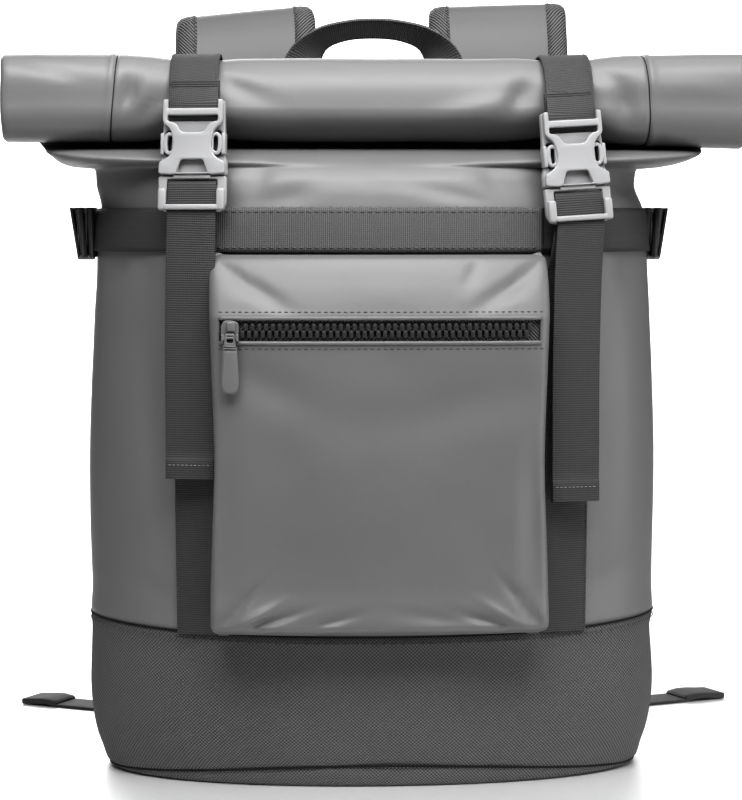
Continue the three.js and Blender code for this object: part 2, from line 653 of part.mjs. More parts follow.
function buildSocket(name, frame) {
  const half = SOCKET_WIDTH / 2;
  const outline = new THREE.Shape();
  const right = SOCKET_OUTLINE.map((row) => new THREE.Vector2(row.across * half, -row.down * SOCKET_LENGTH));
  const left = [...right].reverse().map((p) => new THREE.Vector2(-p.x, p.y));
  outline.setFromPoints([...right, ...left]);
  const plate = new THREE.ExtrudeGeometry(outline, { depth: SOCKET_THICKNESS, bevelEnabled: false });
  plate.rotateX(Math.PI / 2).translate(0, SOCKET_THICKNESS / 2, 0);
  const topRoom = -barZ + loopRadius + WEB / 2 + GAP;
  const cavityTop = topRoom + CAVITY_WALL;
  const cavityLength = SOCKET_LENGTH - cavityTop;
  const through = 2 * SOCKET_THICKNESS;
  let body = toSolid(plate);
  body = body.subtract(toSolid(box(2 * slotHalf, through, 2 * topRoom)));
  const lipDepth = SOCKET_THICKNESS / 2 - lipBack;
  body = body.add(toSolid(box(barLength, lipDepth, LIP_HEIGHT, 0, -lipBack - lipDepth / 2, barZ)));
  body = body.add(toSolid(rod(BAR_THICKNESS / 2, barLength, 0, 0, barZ, 12)));
  const cavityWidth = 2 * (half - CAVITY_SIDE);
  const cavityMiddle = -cavityTop - cavityLength;
  body = body.subtract(toSolid(box(cavityWidth, 2 * cavityHalf, 2 * cavityLength, 0, 0, cavityMiddle)));
  const releaseX = half - CAVITY_SIDE + PRONG_ROOT * 2;
  for (const side of [-1, 1]) {
    const releaseZ = -SOCKET_LENGTH * RELEASE_DOWN;
    const release = box(RELEASE_WIDTH, through, RELEASE_HEIGHT, side * releaseX, 0, releaseZ);
    body = body.subtract(toSolid(release));
  }
  const windowDepth = SOCKET_THICKNESS - 2 * cavityHalf;
  const windowZ = WINDOW_RISE - SOCKET_LENGTH;
  const window = box(WINDOW_WIDTH, windowDepth, WINDOW_HEIGHT, 0, -SOCKET_THICKNESS / 2, windowZ);
  body = body.subtract(toSolid(window));
  add(`buckle_socket_${name}`, toGeometry(body), PLASTIC, frame);
}

function buildPlug(name, frame) {
  const half = PLUG_FRAME_WIDTH / 2;
  const rail = half - slotHalf;
  const top = -SOCKET_LENGTH - GAP;
  const thick = PLUG_THICKNESS;
  const loose = thick - 2 * GAP;
  const endBarFront = -SOCKET_THICKNESS / 2 - PLUG_STEP;
  const endBarBack = -(loopRadius + WEB / 2 + GAP);
  const across = 2 * half;
  let body = toSolid(box(across, thick, PLUG_RAIL, 0, 0, top - PLUG_RAIL / 2));
  body = body.add(toSolid(box(barLength, BAR_THICKNESS, GRIP_BAR_HEIGHT, 0, 0, gripZ)));
  const endBarY = (endBarFront + endBarBack) / 2;
  const endBar = box(barLength, endBarBack - endBarFront, END_BAR, 0, endBarY, endBarZ);
  body = body.add(toSolid(endBar));
  for (const side of [-1, 1]) {
    const railX = side * (half - rail / 2);
    const length = top - plugBottom;
    body = body.add(toSolid(box(rail, thick, length, railX, 0, top - length / 2)));
    const cheek = thick / 2 - endBarFront;
    const cheekZ = plugBottom + CHEEK_HEIGHT / 2;
    body = body.add(toSolid(box(rail, cheek, CHEEK_HEIGHT, railX, thick / 2 - cheek / 2, cheekZ)));
    const prongZ = top + PRONG_LENGTH / 2 - PRONG_ROOT;
    body = body.add(toSolid(box(PRONG_WIDTH, loose, PRONG_LENGTH, side * PRONG_SPREAD, 0, prongZ)));
    body = body.add(toSolid(box(BARB_WIDTH, loose, BARB_HEIGHT, side * BARB_SPREAD, 0, top + BARB_RISE)));
  }
  const tongueZ = top + TONGUE_LENGTH / 2 - PRONG_ROOT;
  body = body.add(toSolid(box(TONGUE_WIDTH, loose, TONGUE_LENGTH, 0, 0, tongueZ)));
  add(`buckle_plug_${name}`, toGeometry(body), PLASTIC, frame);
}

// Points round a bar, from one side of it to the other, in the buckle's own frame.
const aroundBar = (z, from, to, steps = 6) => (
  Array.from({ length: steps + 1 }, (unused, i) => {
    const angle = mix(from, to, i / steps);
    return vec(0, -loopRadius * Math.sin(angle), z + loopRadius * Math.cos(angle));
  })
);

const across = (frame) => vec(1, 0, 0).applyQuaternion(frame.quaternion);

// From its sewn end round the socket's bar, up the front, over the roll and down behind.
function buildRollStrap(name, side, frame) {
  const own = [
    vec(0, WEB / 2 + GAP, 11),
    vec(0, loopRadius, -1),
    ...aroundBar(barZ, -Math.PI / 2, -1.5 * Math.PI),
    vec(0, -loopRadius, -1),
  ];
  const turned = across(frame);
  const stations = own.map((point) => ({ at: point.applyMatrix4(frame.matrix), across: turned }));
  const top = stations.at(-1).at;
  const radius = ROLL_RADIUS + 1.5 * GAP + WEB / 2;
  const reach = Math.hypot(top.y + ROLL_SET_FORWARD, top.z - ROLL_HEIGHT);
  const bearing = Math.atan2(top.z - ROLL_HEIGHT, top.y + ROLL_SET_FORWARD);
  const first = (bearing < 0 ? bearing + 2 * Math.PI : bearing) - Math.acos(radius / reach);
  const steps = 8;
  for (let i = 0; i <= steps; i += 1) {
    const share = i / steps;
    const angle = mix(first, 0.12, share);
    const x = mix(top.x, side * STRAP_SPREAD * 0.985, Math.min(share * 1.6, 1));
    stations.push({
      at: vec(x, -ROLL_SET_FORWARD + radius * Math.cos(angle), ROLL_HEIGHT + radius * Math.sin(angle)),
      across: turned.clone().lerp(vec(1, 0, 0), share).normalize(),
    });
  }
  const backX = side * STRAP_SPREAD * 0.985;
  const finBack = FIN_MIDDLE_Y + TUBE_THICKNESS / 2 + GAP + WEB / 2;
  stations.push({ at: vec(backX, finBack + 1, ROLL_HEIGHT - 8), across: vec(1, 0, 0) });
  stations.push({ at: vec(backX, finBack + 4, ROLL_HEIGHT - 18), across: vec(1, 0, 0) });
  const onYoke = (z, stand) => ({
    at: vec(backX, yokeOutside(backX, z) + GAP + WEB / 2 + stand, z),
    across: alongSurface(backY, backX, z),
  });
  const shoulder = onYoke(SHOULDER_HEIGHT, 1);
  const slopeY = mix(finBack, shoulder.at.y, 0.72);
  stations.push({ at: vec(backX, slopeY, ROLL_HEIGHT - 25), across: vec(1, 0, 0) });
  stations.push({ at: vec(backX, shoulder.at.y - 1, SHOULDER_HEIGHT + 10), across: vec(1, 0, 0) });
  stations.push(shoulder, onYoke(YOKE_TOP - 6, YOKE_STAND), onYoke(YOKE_TOP - 14, YOKE_STAND),
    onYoke(YOKE_BOTTOM + 4, YOKE_STAND));
  add(`roll_strap_${name}`, ribbon(stations), WEBBING);
}

// The front strap's sewn run: up it, as a share of the way from the base to the band, how
// far outward from its foot and how far off the bag it lies.
const FRONT_STRAP_RUN = [
  { up: 0.21, outward: 0.5, stand: 0.2 },
  { up: 0.57, outward: 1.5, stand: 0.6 },
  { up: 0.77, outward: 2.5, stand: 0.6 },
  { up: 0.953, outward: 3.3, stand: 0.8 },
];

// Up the front from the base seam, over the band, round the plug's grip bar and down again.
function buildFrontStrap(name, side, frame) {
  const turned = across(frame);
  const stations = [];
  const onBag = (z, x, stand) => stations.push({
    at: vec(side * x, frontY(side * x, z) - GAP - WEB / 2 - stand, z),
    across: alongSurface(frontY, side * x, z),
  });
  const drop = side > 0 ? RIGHT_DROP : 0;
  onBag(BASE_HEIGHT + GAP + 0.5, STRAP_FOOT_SPREAD, 0);
  for (const row of FRONT_STRAP_RUN) {
    onBag(mix(BASE_HEIGHT, BAND_BOTTOM, row.up), STRAP_FOOT_SPREAD + row.outward, row.stand);
  }
  onBag(BAND_BOTTOM - 1 - drop, STRAP_FOOT_SPREAD + 3.6, WEB + 2 * GAP + 0.5);
  const own = [
    vec(0, loopRadius, plugBottom),
    vec(0, loopRadius, gripZ - 2),
    ...aroundBar(gripZ + GRIP_BAR_HEIGHT / 2 - BAR_THICKNESS / 2 + GAP, -Math.PI / 2, Math.PI / 2),
    vec(0, -loopRadius, gripZ - 2),
    vec(0, -loopRadius, plugBottom - 1),
  ];
  own.forEach((point) => stations.push({ at: point.applyMatrix4(frame.matrix), across: turned }));
  const leave = stations.at(-1).at;
  const bottom = TAIL_BOTTOM - (side > 0 ? RIGHT_TAIL_EXTRA : 0);
  const hang = (share, extra = {}) => stations.push({
    at: vec(
      mix(leave.x, side * TAIL_SPREAD, Math.min(share * 3, 1)),
      leave.y + TAIL_RETURN * Math.min(share * 2, 1),
      mix(leave.z, bottom, share),
    ),
    across: turned,
    ...extra,
  });
  hang(0.2);
  hang(0.5);
  hang(0.93);
  hang(0.94, { thickness: 2 * WEB + GAP });
  hang(1, { thickness: 2 * WEB + GAP });
  add(`front_strap_${name}`, ribbon(stations), WEBBING);
}

// The yoke is sewn to the back; what it carries lies against its outer face.
const yokeOutside = (x, z) => backY(x, Math.min(z, SHOULDER_HEIGHT)) + GAP + YOKE_THICKNESS;

function buildYoke() {
  const grid = (out) => [YOKE_BOTTOM, (YOKE_BOTTOM + YOKE_TOP) / 2, YOKE_TOP].map((z) => (
    Array.from({ length: 13 }, (unused, k) => {
      const x = mix(-YOKE_WIDTH / 2, YOKE_WIDTH / 2, k / 12);
      return vec(x, backY(x, z) + GAP + out, z);
    })
  ));
  add('back_yoke', panelWall(grid(0), grid(YOKE_THICKNESS)), WOVEN);
}

// A webbing loop: its flat turns from facing back at the feet to facing up at the top.
function buildHandle() {
  const footY = (z) => yokeOutside(HANDLE_FOOT_SPREAD - HANDLE_WIDTH / 2, z) + GAP + WEB / 2;
  const rise = [
    { across: 1.0, z: YOKE_BOTTOM + 4, y: YOKE_STAND, turn: 0 },
    { across: 1.0, z: YOKE_TOP - 12, y: YOKE_STAND, turn: 0 },
    { across: 1.0, z: YOKE_TOP, y: YOKE_STAND, turn: 0 },
    { across: 1.0, z: SHOULDER_HEIGHT + 30, y: -1, turn: 0.02 },
    { across: 1.06, z: HANDLE_TOP - 40, y: -2, turn: 0.1 },
    { across: 1.02, z: HANDLE_TOP - 20, y: -2, turn: 0.34 },
    { across: 0.78, z: HANDLE_TOP - 7, y: -2, turn: 0.7 },
    { across: 0.42, z: HANDLE_TOP - 1.5, y: -2, turn: 0.93 },
    { across: 0.0, z: HANDLE_TOP, y: -2, turn: 1 },
  ];
  const flat = vec(0, -0.92, 0.4);
  const half = (side) => rise.map((row) => ({
    at: vec(side * row.across * HANDLE_FOOT_SPREAD, footY(row.z) + row.y, row.z),
    across: vec(1, 0, 0).lerp(flat.clone().multiplyScalar(side), row.turn).normalize(),
  }));
  const left = half(-1);
  const right = half(1).reverse().slice(1);
  right.forEach((station, i) => {
    const before = i ? right[i - 1] : left.at(-1);
    if (station.across.dot(before.across) < 0) station.across.negate();
  });
  add('haul_handle', ribbon([...left, ...right], HANDLE_WIDTH), WEBBING);
}

// The padded strap: up from the yoke, over and down behind the back. Places are shares of
// the way from the yoke to the arch and from the arch to the strap's lower end.
const PAD_PATH = [
  { rise: 0.0, back: 0.0, spread: 1.0, width: 0.86, thickness: 0.4 },
  { rise: 0.22, back: 0.03, spread: 1.0, width: 0.94, thickness: 0.7 },
  { rise: 0.6, back: 0.1, spread: 1.0, width: 1.0, thickness: 0.95 },
  { rise: 0.85, back: 0.2, spread: 1.0, width: 1.0, thickness: 1.0 },
  { rise: 0.97, back: 0.34, spread: 1.0, width: 1.0, thickness: 1.0 },
  { rise: 1.0, back: 0.5, spread: 1.01, width: 1.0, thickness: 1.0 },
  { rise: 0.95, back: 0.7, spread: 1.02, width: 1.0, thickness: 1.0 },
  { rise: 0.8, back: 0.87, spread: 1.04, width: 0.98, thickness: 1.0 },
  { rise: 0.55, back: 0.97, spread: 1.08, width: 0.95, thickness: 1.0 },
  { rise: 0.2, back: 1.0, spread: 1.14, width: 0.92, thickness: 1.0 },
  { rise: -0.3, back: 0.94, spread: 1.22, width: 0.88, thickness: 1.0 },
  { rise: -0.8, back: 0.82, spread: 1.3, width: 0.84, thickness: 0.9 },
  { rise: -1.2, back: 0.72, spread: 1.34, width: 0.74, thickness: 0.6 },
];

// A pad's section: two flat faces and rounded edges.
const PAD_SECTION = [
  { across: -1, up: 0 },
  { across: -0.93, up: -0.8 },
  { across: -0.75, up: -1 },
  { across: 0.75, up: -1 },
  { across: 0.93, up: -0.8 },
  { across: 1, up: 0 },
  { across: 0.93, up: 0.8 },
  { across: 0.75, up: 1 },
  { across: -0.75, up: 1 },
  { across: -0.93, up: 0.8 },
];

function padPlace(row, side) {
  const start = YOKE_BOTTOM + 4;
  const x = side * PAD_SPREAD * row.spread;
  const z = row.rise < 0
    ? mix(start, PAD_END_HEIGHT, row.rise / PAD_PATH.at(-1).rise)
    : mix(start, PAD_TOP, row.rise);
  const startY = yokeOutside(0, start) + GAP + PAD_THICKNESS * PAD_PATH[0].thickness / 2 + WEB + 2 * GAP;
  return vec(x, startY + row.back * PAD_LOOP_DEPTH, z);
}

function buildShoulderStrap(name, side) {
  const middles = PAD_PATH.map((row) => padPlace(row, side));
  const curve = new THREE.CatmullRomCurve3(middles);
  const count = PAD_PATH.length * 2 - 1;
  const rows = Array.from({ length: count }, (unused, i) => {
    const share = i / (count - 1);
    const at = curve.getPoint(share);
    const tangent = curve.getTangent(share);
    const wide = vec(1, 0, 0).addScaledVector(tangent, -tangent.x).normalize();
    const up = tangent.clone().cross(wide);
    const row = PAD_PATH[Math.floor(i / 2)];
    const next = PAD_PATH[Math.ceil(i / 2)];
    const w = (row.width + next.width) / 4 * PAD_WIDTH;
    const t = (row.thickness + next.thickness) / 4 * PAD_THICKNESS;
    return PAD_SECTION.map((p) => (
      at.clone().addScaledVector(wide, p.across * w).addScaledVector(up, p.up * t)
    ));
  });
  add(`shoulder_strap_${name}`, skin(rows), COATED);
  buildLowerWebbing(name, side, middles.at(-1));
}

// The hanging webbing below the lock: heights are shares of the lock's own, and the turn is
// how far its flat has come round to lie on the floor.
const LOWER_HANG = [
  { height: 0.63, outward: 1, back: 1, turn: 0 },
  { height: 0.3, outward: 3, back: 2, turn: 0.15 },
  { height: 0.107, outward: 5, back: 4, turn: 0.5 },
];

// The ladder lock hangs at the pad's end. The webbing comes up from the sewn patch at the
// lower corner of the back, goes round the lock's bar and down to the floor.
function buildLowerWebbing(name, side, padEnd) {
  const lock = new THREE.Group();
  lock.position.set(padEnd.x, padEnd.y, padEnd.z - PAD_END_DROP - LOCK_LENGTH / 2);
  backpack.add(lock);
  const half = LOWER_WEB_WIDTH / 2 + GAP;
  const wide = 2 * (half + LOCK_RAIL);
  const railX = half + LOCK_RAIL / 2;
  const endBarY = loopRadius + WEB / 2 + GAP + BAR_THICKNESS / 2;
  const endBarZ = -(LOCK_LENGTH - LOCK_BAR) / 2;
  const railReach = endBarY + BAR_THICKNESS / 2;
  let frame = toSolid(box(wide, LOCK_THICKNESS, LOCK_BAR, 0, 0, (LOCK_LENGTH - LOCK_BAR) / 2));
  frame = frame.add(toSolid(box(2 * half + 1, BAR_THICKNESS, LOCK_BAR)));
  frame = frame.add(toSolid(box(2 * half + 1, BAR_THICKNESS, LOCK_BAR, 0, endBarY, endBarZ)));
  for (const way of [-1, 1]) {
    frame = frame.add(toSolid(box(LOCK_RAIL, LOCK_THICKNESS, LOCK_LENGTH, way * railX)));
    const cheek = box(LOCK_RAIL, railReach, LOCK_LENGTH / 2, way * railX, railReach / 2, -LOCK_LENGTH / 4);
    frame = frame.add(toSolid(cheek));
  }
  add(`strap_lock_${name}`, toGeometry(frame), DARK_PLASTIC, lock);

  const anchorX = side * (BODY_WIDTH / 2 - ANCHOR_WIDTH - 6);
  const patch = (out) => [0, 0.5, 1].map((up) => (
    Array.from({ length: 9 }, (unused, k) => {
      const halfWide = mix(ANCHOR_WIDTH / 2, LOWER_WEB_WIDTH / 2, up);
      const x = anchorX + side * mix(-halfWide, halfWide, k / 8);
      const z = BASE_HEIGHT + 4 + up * ANCHOR_HEIGHT;
      return vec(x, backY(x, z) + GAP + out, z);
    })
  ));
  add(`strap_anchor_${name}`, panelWall(patch(0), patch(YOKE_THICKNESS)), WOVEN);

  const patchZ = BASE_HEIGHT + 4 + ANCHOR_HEIGHT / 2;
  const patchY = backY(anchorX, patchZ) + 2 * GAP + YOKE_THICKNESS + WEB / 2;
  const onPatch = (z) => ({
    at: vec(anchorX, patchY + PATCH_STAND, z),
    across: alongSurface(backY, anchorX, z),
  });
  const lockAt = lock.position;
  const lockLow = lockAt.z - LOCK_LENGTH / 2;
  const frontOfBar = lockAt.y - loopRadius;
  const flat = vec(1, 0, 0);
  const bend = LOCK_BAR / 2 - BAR_THICKNESS / 2 + GAP;
  const stations = [
    onPatch(patchZ - 14),
    onPatch(patchZ + 8),
    { at: vec(anchorX, patchY + 6, patchZ + 16), across: flat },
    { at: vec(mix(anchorX, lockAt.x, 0.5), mix(patchY, frontOfBar, 0.6), lockLow - 8), across: flat },
    { at: vec(lockAt.x, frontOfBar - 1, lockLow - 1), across: flat },
  ];
  aroundBar(bend, Math.PI / 2, -Math.PI / 2).forEach((point) => (
    stations.push({ at: point.add(lockAt), across: flat })
  ));
  const floorZ = FLOOR_AIR + WEB / 2;
  const start = vec(lockAt.x, lockAt.y + loopRadius, 0);
  const end = vec(side * LOWER_TAIL_REACH, LOWER_TAIL_BACK, floorZ);
  const outward = end.clone().sub(start).setZ(0).normalize();
  const sideways = vec(outward.y, -outward.x, 0).multiplyScalar(side);
  const floorStation = (share, lift, extra = {}) => ({
    at: vec(mix(start.x + side * 10, end.x, share), mix(start.y + 8, end.y, share), floorZ + lift),
    across: sideways,
    ...extra,
  });
  stations.push(
    { at: vec(start.x, start.y, lockLow - 4), across: flat },
    ...LOWER_HANG.map((row) => ({
      at: vec(start.x + side * row.outward, start.y + row.back, lockLow * row.height),
      across: flat.clone().lerp(sideways, row.turn),
    })),
    floorStation(0, 3),
    floorStation(0.22, 0.2),
    floorStation(0.6, 0),
    floorStation(0.78, 0),
    floorStation(0.79, (WEB + GAP) / 2, { thickness: 2 * WEB + GAP }),
    floorStation(1, (WEB + GAP) / 2, { thickness: 2 * WEB + GAP }),
  );
  add(`lower_strap_${name}`, ribbon(stations, LOWER_WEB_WIDTH, WEB), WEBBING);
}

for (const side of [-1, 1]) {
  const name = side < 0 ? 'left' : 'right';
  const frame = buckleFrame(side);
  backpack.add(frame);
  buildSocket(name, frame);
  buildPlug(name, frame);
  buildRollStrap(name, side, frame);
  buildFrontStrap(name, side, frame);
  buildShoulderStrap(name, side);
}
buildYoke();
buildHandle();

buildBody();
buildBase();
buildRoll();
buildPocket();
buildZipper();
buildBand();

// The origin is the middle of the bag's footprint, on the floor.
const bounds = new THREE.Box3().setFromObject(backpack);
const centre = bounds.getCenter(new THREE.Vector3());
backpack.position.set(-centre.x, -centre.y, -bounds.min.z);

export default backpack;
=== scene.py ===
# Rolltop backpack of coated cloth: its visible surfaces, finishes, light and camera.
# Shapes are worked out in millimetres, +X to the right, +Y to the back, +Z up, and turned
# to the shared frame's metres when a piece is finished.
import math

import bmesh
import bpy
from mathutils import Matrix, Vector, noise


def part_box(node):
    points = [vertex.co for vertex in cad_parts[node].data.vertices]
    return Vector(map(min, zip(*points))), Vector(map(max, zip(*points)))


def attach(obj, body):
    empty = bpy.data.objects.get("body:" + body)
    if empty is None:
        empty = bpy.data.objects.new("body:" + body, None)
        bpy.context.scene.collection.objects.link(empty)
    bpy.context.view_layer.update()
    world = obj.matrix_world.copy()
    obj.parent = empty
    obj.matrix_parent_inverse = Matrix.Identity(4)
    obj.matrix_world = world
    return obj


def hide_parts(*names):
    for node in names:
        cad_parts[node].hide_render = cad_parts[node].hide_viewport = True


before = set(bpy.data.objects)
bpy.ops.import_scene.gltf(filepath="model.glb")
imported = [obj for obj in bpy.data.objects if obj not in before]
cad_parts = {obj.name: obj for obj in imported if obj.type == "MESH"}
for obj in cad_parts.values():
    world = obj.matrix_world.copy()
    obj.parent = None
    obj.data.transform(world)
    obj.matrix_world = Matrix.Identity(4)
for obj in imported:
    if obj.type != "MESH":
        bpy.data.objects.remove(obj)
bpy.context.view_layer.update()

# Cloth, webbing and the air between two pieces that touch
GAP = 0.3
CLOTH = 1.6
BASE_CLOTH = 2.2
WEB = 1.6

# The bag
BODY_WIDTH = 336
BODY_DEPTH = 160
FRONT_OVERHANG = 4
BODY_FRONT = -BODY_DEPTH / 2 - FRONT_OVERHANG
BODY_BACK = BODY_DEPTH / 2 - FRONT_OVERHANG
BASE_HEIGHT = 85
SHOULDER_HEIGHT = 330
SEAM_RISE = 5.5
SEAM_RISE_REACH = 60
NECK_LEAN = -4.2
NECK_LEAN_LOW = 323
NECK_LEAN_HIGH = 346
BAG_COLUMNS = 264
PLAIN_RUN = 236
PLAIN_ROWS = 66
GATHER_ROWS = 64

# The roll
ROLL_HEIGHT = 384
ROLL_WIDTH = 418
ROLL_RADIUS = 26
ROLL_SET_FORWARD = 38
ROLL_TURNS = 2.1
ROLL_SQUEEZE = 2.6
ROLL_COLUMNS = 130
ROLL_ROWS = 92
TUBE_AIR = 0.8
TURN_AIR = 0.8
TUBE_THICKNESS = 2 * CLOTH + TUBE_AIR
FIN_MIDDLE_Y = -ROLL_SET_FORWARD + ROLL_RADIUS - TUBE_THICKNESS / 2
FIN_ROUND = 8
ROLL_SEAMS = (-147, 151)

# The pocket and its zipper
POCKET_WIDTH = 190
POCKET_BOTTOM = 87
POCKET_TOP = 298
POCKET_DEPTH = 19
POCKET_FLATNESS = 0.55
SLOT_BOTTOM = 250
SLOT_HEIGHT = 13.5
SLOT_WIDTH = 176
SLOT_MIDDLE = SLOT_BOTTOM + SLOT_HEIGHT / 2
TAPE_BACK = 2.2
TAPE_THICKNESS = 1
TAPE_HELD = 86
TAPE_STITCHES = 5.3
TAPE_PAST_SLOT = 3
TAPE_PAST_END = 0.3
WELT_RADIUS = 1.1
WELT_STANDS = {"low": 0.2, "high": 0.35}
SLOT_STITCHES = {"low": -3.2, "high": 3.4}
TOOTH_PITCH = 3.7
TOOTH_SIZE = (2.5, 2.6, 4.2)
TOOTH_OFF_MIDDLE = 1.9
TOOTH_FORWARD = 1.5
FIRST_TOOTH_GAP = 2
LAST_TOOTH_GAP = 1.5
SLIDER_WIDTH = 9.6
SLIDER_X = -SLOT_WIDTH / 2 + SLIDER_WIDTH / 2 + 1

# The band across the front and its adjusters
BAND_HEIGHT = 24.5
BAND_BOTTOM = 299.5
BAND_CENTRE_HALF = 92
BAND_CENTRE_OVERLAP = 0.2
BAND_CENTRE_STAND = 0.7
BAND_EDGE_WAVE = 0.35
BAND_STITCHES = {"low": 2.2, "high": 2.4}
SIDE_LOOP_DEPTH = 26

# The front straps and their buckles
STRAP_WIDTH = 27.6
STRAP_SPREAD = 104
STRAP_SHIFT = 2.6
STRAP_FOOT_SPREAD = 102
TAIL_SPREAD = 107.2
BUCKLE_TOP = 383
BUCKLE_TOP_Y = -70.5
BUCKLE_PITCH = math.radians(6.5)
BUCKLE_YAW = math.radians(12)
BAR_THICKNESS = 2
GRIP_BAR_HEIGHT = 8.6
PLUG_THICKNESS = 4.4
TAIL_BOTTOM = 174
RIGHT_DROP = 6
RIGHT_TURN = math.radians(3.5)
RIGHT_TAIL_EXTRA = 13.5
LOOP_RADIUS = BAR_THICKNESS / 2 + GAP + WEB / 2
BAR_Z = -6.7
GRIP_Z = -51.2
END_BAR_Z = -59.6
PLUG_BOTTOM = -61.1

# The back
YOKE_WIDTH = 250
YOKE_BOTTOM = 296
YOKE_TOP = 326
YOKE_THICKNESS = 2.4
YOKE_STAND = 0.4
YOKE_STITCH_INSET = 2.5
HANDLE_WIDTH = 24
HANDLE_FOOT_SPREAD = 42
HANDLE_TOP = 434
HANDLE_SHIFT = 4
PAD_WIDTH = 84
PAD_THICKNESS = 11
PAD_TILT = 0.1
PAD_SPREAD = 78
PAD_SHIFT = 4.5
PAD_LEFT_DROP = 4.5
PAD_TOP = 446
PAD_END_HEIGHT = 158
PAD_LOOP_DEPTH = 62
LOWER_WEB_WIDTH = 25
LOCK_LENGTH = 24
LOCK_THICKNESS = 4
PAD_END_DROP = 3
LOWER_TAIL_REACH = 226
LOWER_TAIL_BACK = 190
LOWER_TAIL_EXTRA = {"left": -9, "right": 12}
FLOOR_TURN_OUT = 10
FLOOR_TURN_BACK = 8
ANCHOR_HEIGHT = 48
ANCHOR_WIDTH = 56
ANCHOR_INSET = 6
ANCHOR_BOTTOM = BASE_HEIGHT + 4
FLOOR_AIR = 0.3

# The photograph's camera
CAMERA_PLACE = (-67, -1475, 311)
CAMERA_YAW = math.radians(-2.57)
CAMERA_PITCH = math.radians(3.83)
CAMERA_LENS = 113.6
CAMERA_SENSOR = 36

SHIFT = Vector((0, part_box("base")[0].y * 1000 - BODY_FRONT, 0))


def mix(a, b, share):
    return a + (b - a) * share


def clamp(value, low=0.0, high=1.0):
    return min(max(value, low), high)


def ease(value):
    t = clamp(value)
    return t * t * (3 - 2 * t)


def hump(distance, width):
    return math.exp(-((distance / width) ** 2))


# A table's column between two of its rows, as a smooth curve that doesn't overshoot.
def between(rows, key, column, at):
    xs = [row[key] for row in rows]
    ys = [row[column] for row in rows]
    at = clamp(at, xs[0], xs[-1])
    i = next(k for k in range(len(xs) - 1) if at <= xs[k + 1] or k == len(xs) - 2)

    def rise(k):
        return (ys[k + 1] - ys[k]) / (xs[k + 1] - xs[k])

    def slope(k):
        if k == 0:
            return rise(0)
        if k == len(xs) - 1:
            return rise(k - 1)
        before, after = rise(k - 1), rise(k)
        return 0.0 if before * after <= 0 else 2 * before * after / (before + after)

    length = xs[i + 1] - xs[i]
    t = (at - xs[i]) / length
    start = (1 + 2 * t) * (1 - t) ** 2 * ys[i] + t * (1 - t) ** 2 * length * slope(i)
    end = t * t * (3 - 2 * t) * ys[i + 1] + t * t * (t - 1) * length * slope(i + 1)
    return start + end


# Plan sections of the bag. Heights are shares of the stretch between the base and the
# shoulder; widths and depths are shares of the bag's own; a higher round is a squarer plan.
BODY_SECTIONS = (
    {"height": 0.0, "width": 0.979, "front": 1.0, "back": 0.96, "front_round": 2.1, "back_round": 2.7},
    {"height": 0.16, "width": 0.983, "front": 1.0, "back": 0.98, "front_round": 2.1, "back_round": 2.8},
    {"height": 0.3, "width": 0.986, "front": 1.0, "back": 0.99, "front_round": 2.1, "back_round": 2.9},
    {"height": 0.5, "width": 0.98, "front": 1.0, "back": 1.0, "front_round": 2.15, "back_round": 3.0},
    {"height": 0.74, "width": 0.966, "front": 0.99, "back": 1.0, "front_round": 2.15, "back_round": 3.0},
    {"height": 0.92, "width": 0.948, "front": 0.97, "back": 0.98, "front_round": 2.15, "back_round": 3.0},
    {"height": 1.0, "width": 0.934, "front": 0.94, "back": 0.94, "front_round": 2.15, "back_round": 2.8},
)

# Above the shoulder the cloth gathers to the flat fin behind the roll. Heights are shares
# of the rise to the roll's middle, the others are shares of the way from bag to fin.
GATHER_SECTIONS = (
    {"height": 0.16, "width": -0.01, "front": 0.045, "back": 0.1, "square": 0.0},
    {"height": 0.26, "width": -0.01, "front": 0.1, "back": 0.24, "square": 0.0},
    {"height": 0.31, "width": 0.0, "front": 0.14, "back": 0.36, "square": 0.0},
    {"height": 0.33, "width": 0.25, "front": 0.158, "back": 0.42, "square": 0.06},
    {"height": 0.367, "width": 0.4, "front": 0.2, "back": 0.52, "square": 0.26},
    {"height": 0.42, "width": 0.5, "front": 0.27, "back": 0.64, "square": 0.55},
    {"height": 0.46, "width": 0.56, "front": 0.34, "back": 0.7, "square": 0.8},
    {"height": 0.49, "width": 0.59, "front": 0.46, "back": 0.75, "square": 0.86},
    {"height": 0.51, "width": 0.61, "front": 0.62, "back": 0.78, "square": 0.9},
    {"height": 0.54, "width": 0.64, "front": 0.86, "back": 0.8, "square": 0.95},
    {"height": 0.66, "width": 0.74, "front": 0.98, "back": 0.95, "square": 1.0},
    {"height": 0.86, "width": 0.93, "front": 1.0, "back": 1.0, "square": 1.0},
    {"height": 1.0, "width": 0.99, "front": 1.0, "back": 1.0, "square": 1.0},
)


def sections_of_the_bag():
    rows = []
    for row in BODY_SECTIONS:
        rows.append({
            "z": mix(BASE_HEIGHT, SHOULDER_HEIGHT, row["height"]),
            "half": row["width"] * BODY_WIDTH / 2,
            "front": row["front"] * BODY_FRONT,
            "back": row["back"] * BODY_BACK,
            "front_round": row["front_round"],
            "back_round": row["back_round"],
        })
    shoulder = rows[-1]
    for row in GATHER_SECTIONS:
        rows.append({
            "z": mix(SHOULDER_HEIGHT, ROLL_HEIGHT - GAP, row["height"]),
            "half": mix(shoulder["half"], ROLL_WIDTH / 2, row["width"]),
            "front": mix(shoulder["front"], FIN_MIDDLE_Y - TUBE_THICKNESS / 2, row["front"]),
            "back": mix(shoulder["back"], FIN_MIDDLE_Y + TUBE_THICKNESS / 2, row["back"]),
            "front_round": mix(shoulder["front_round"], FIN_ROUND, row["square"]),
            "back_round": mix(shoulder["back_round"], FIN_ROUND, row["square"]),
        })
    return rows


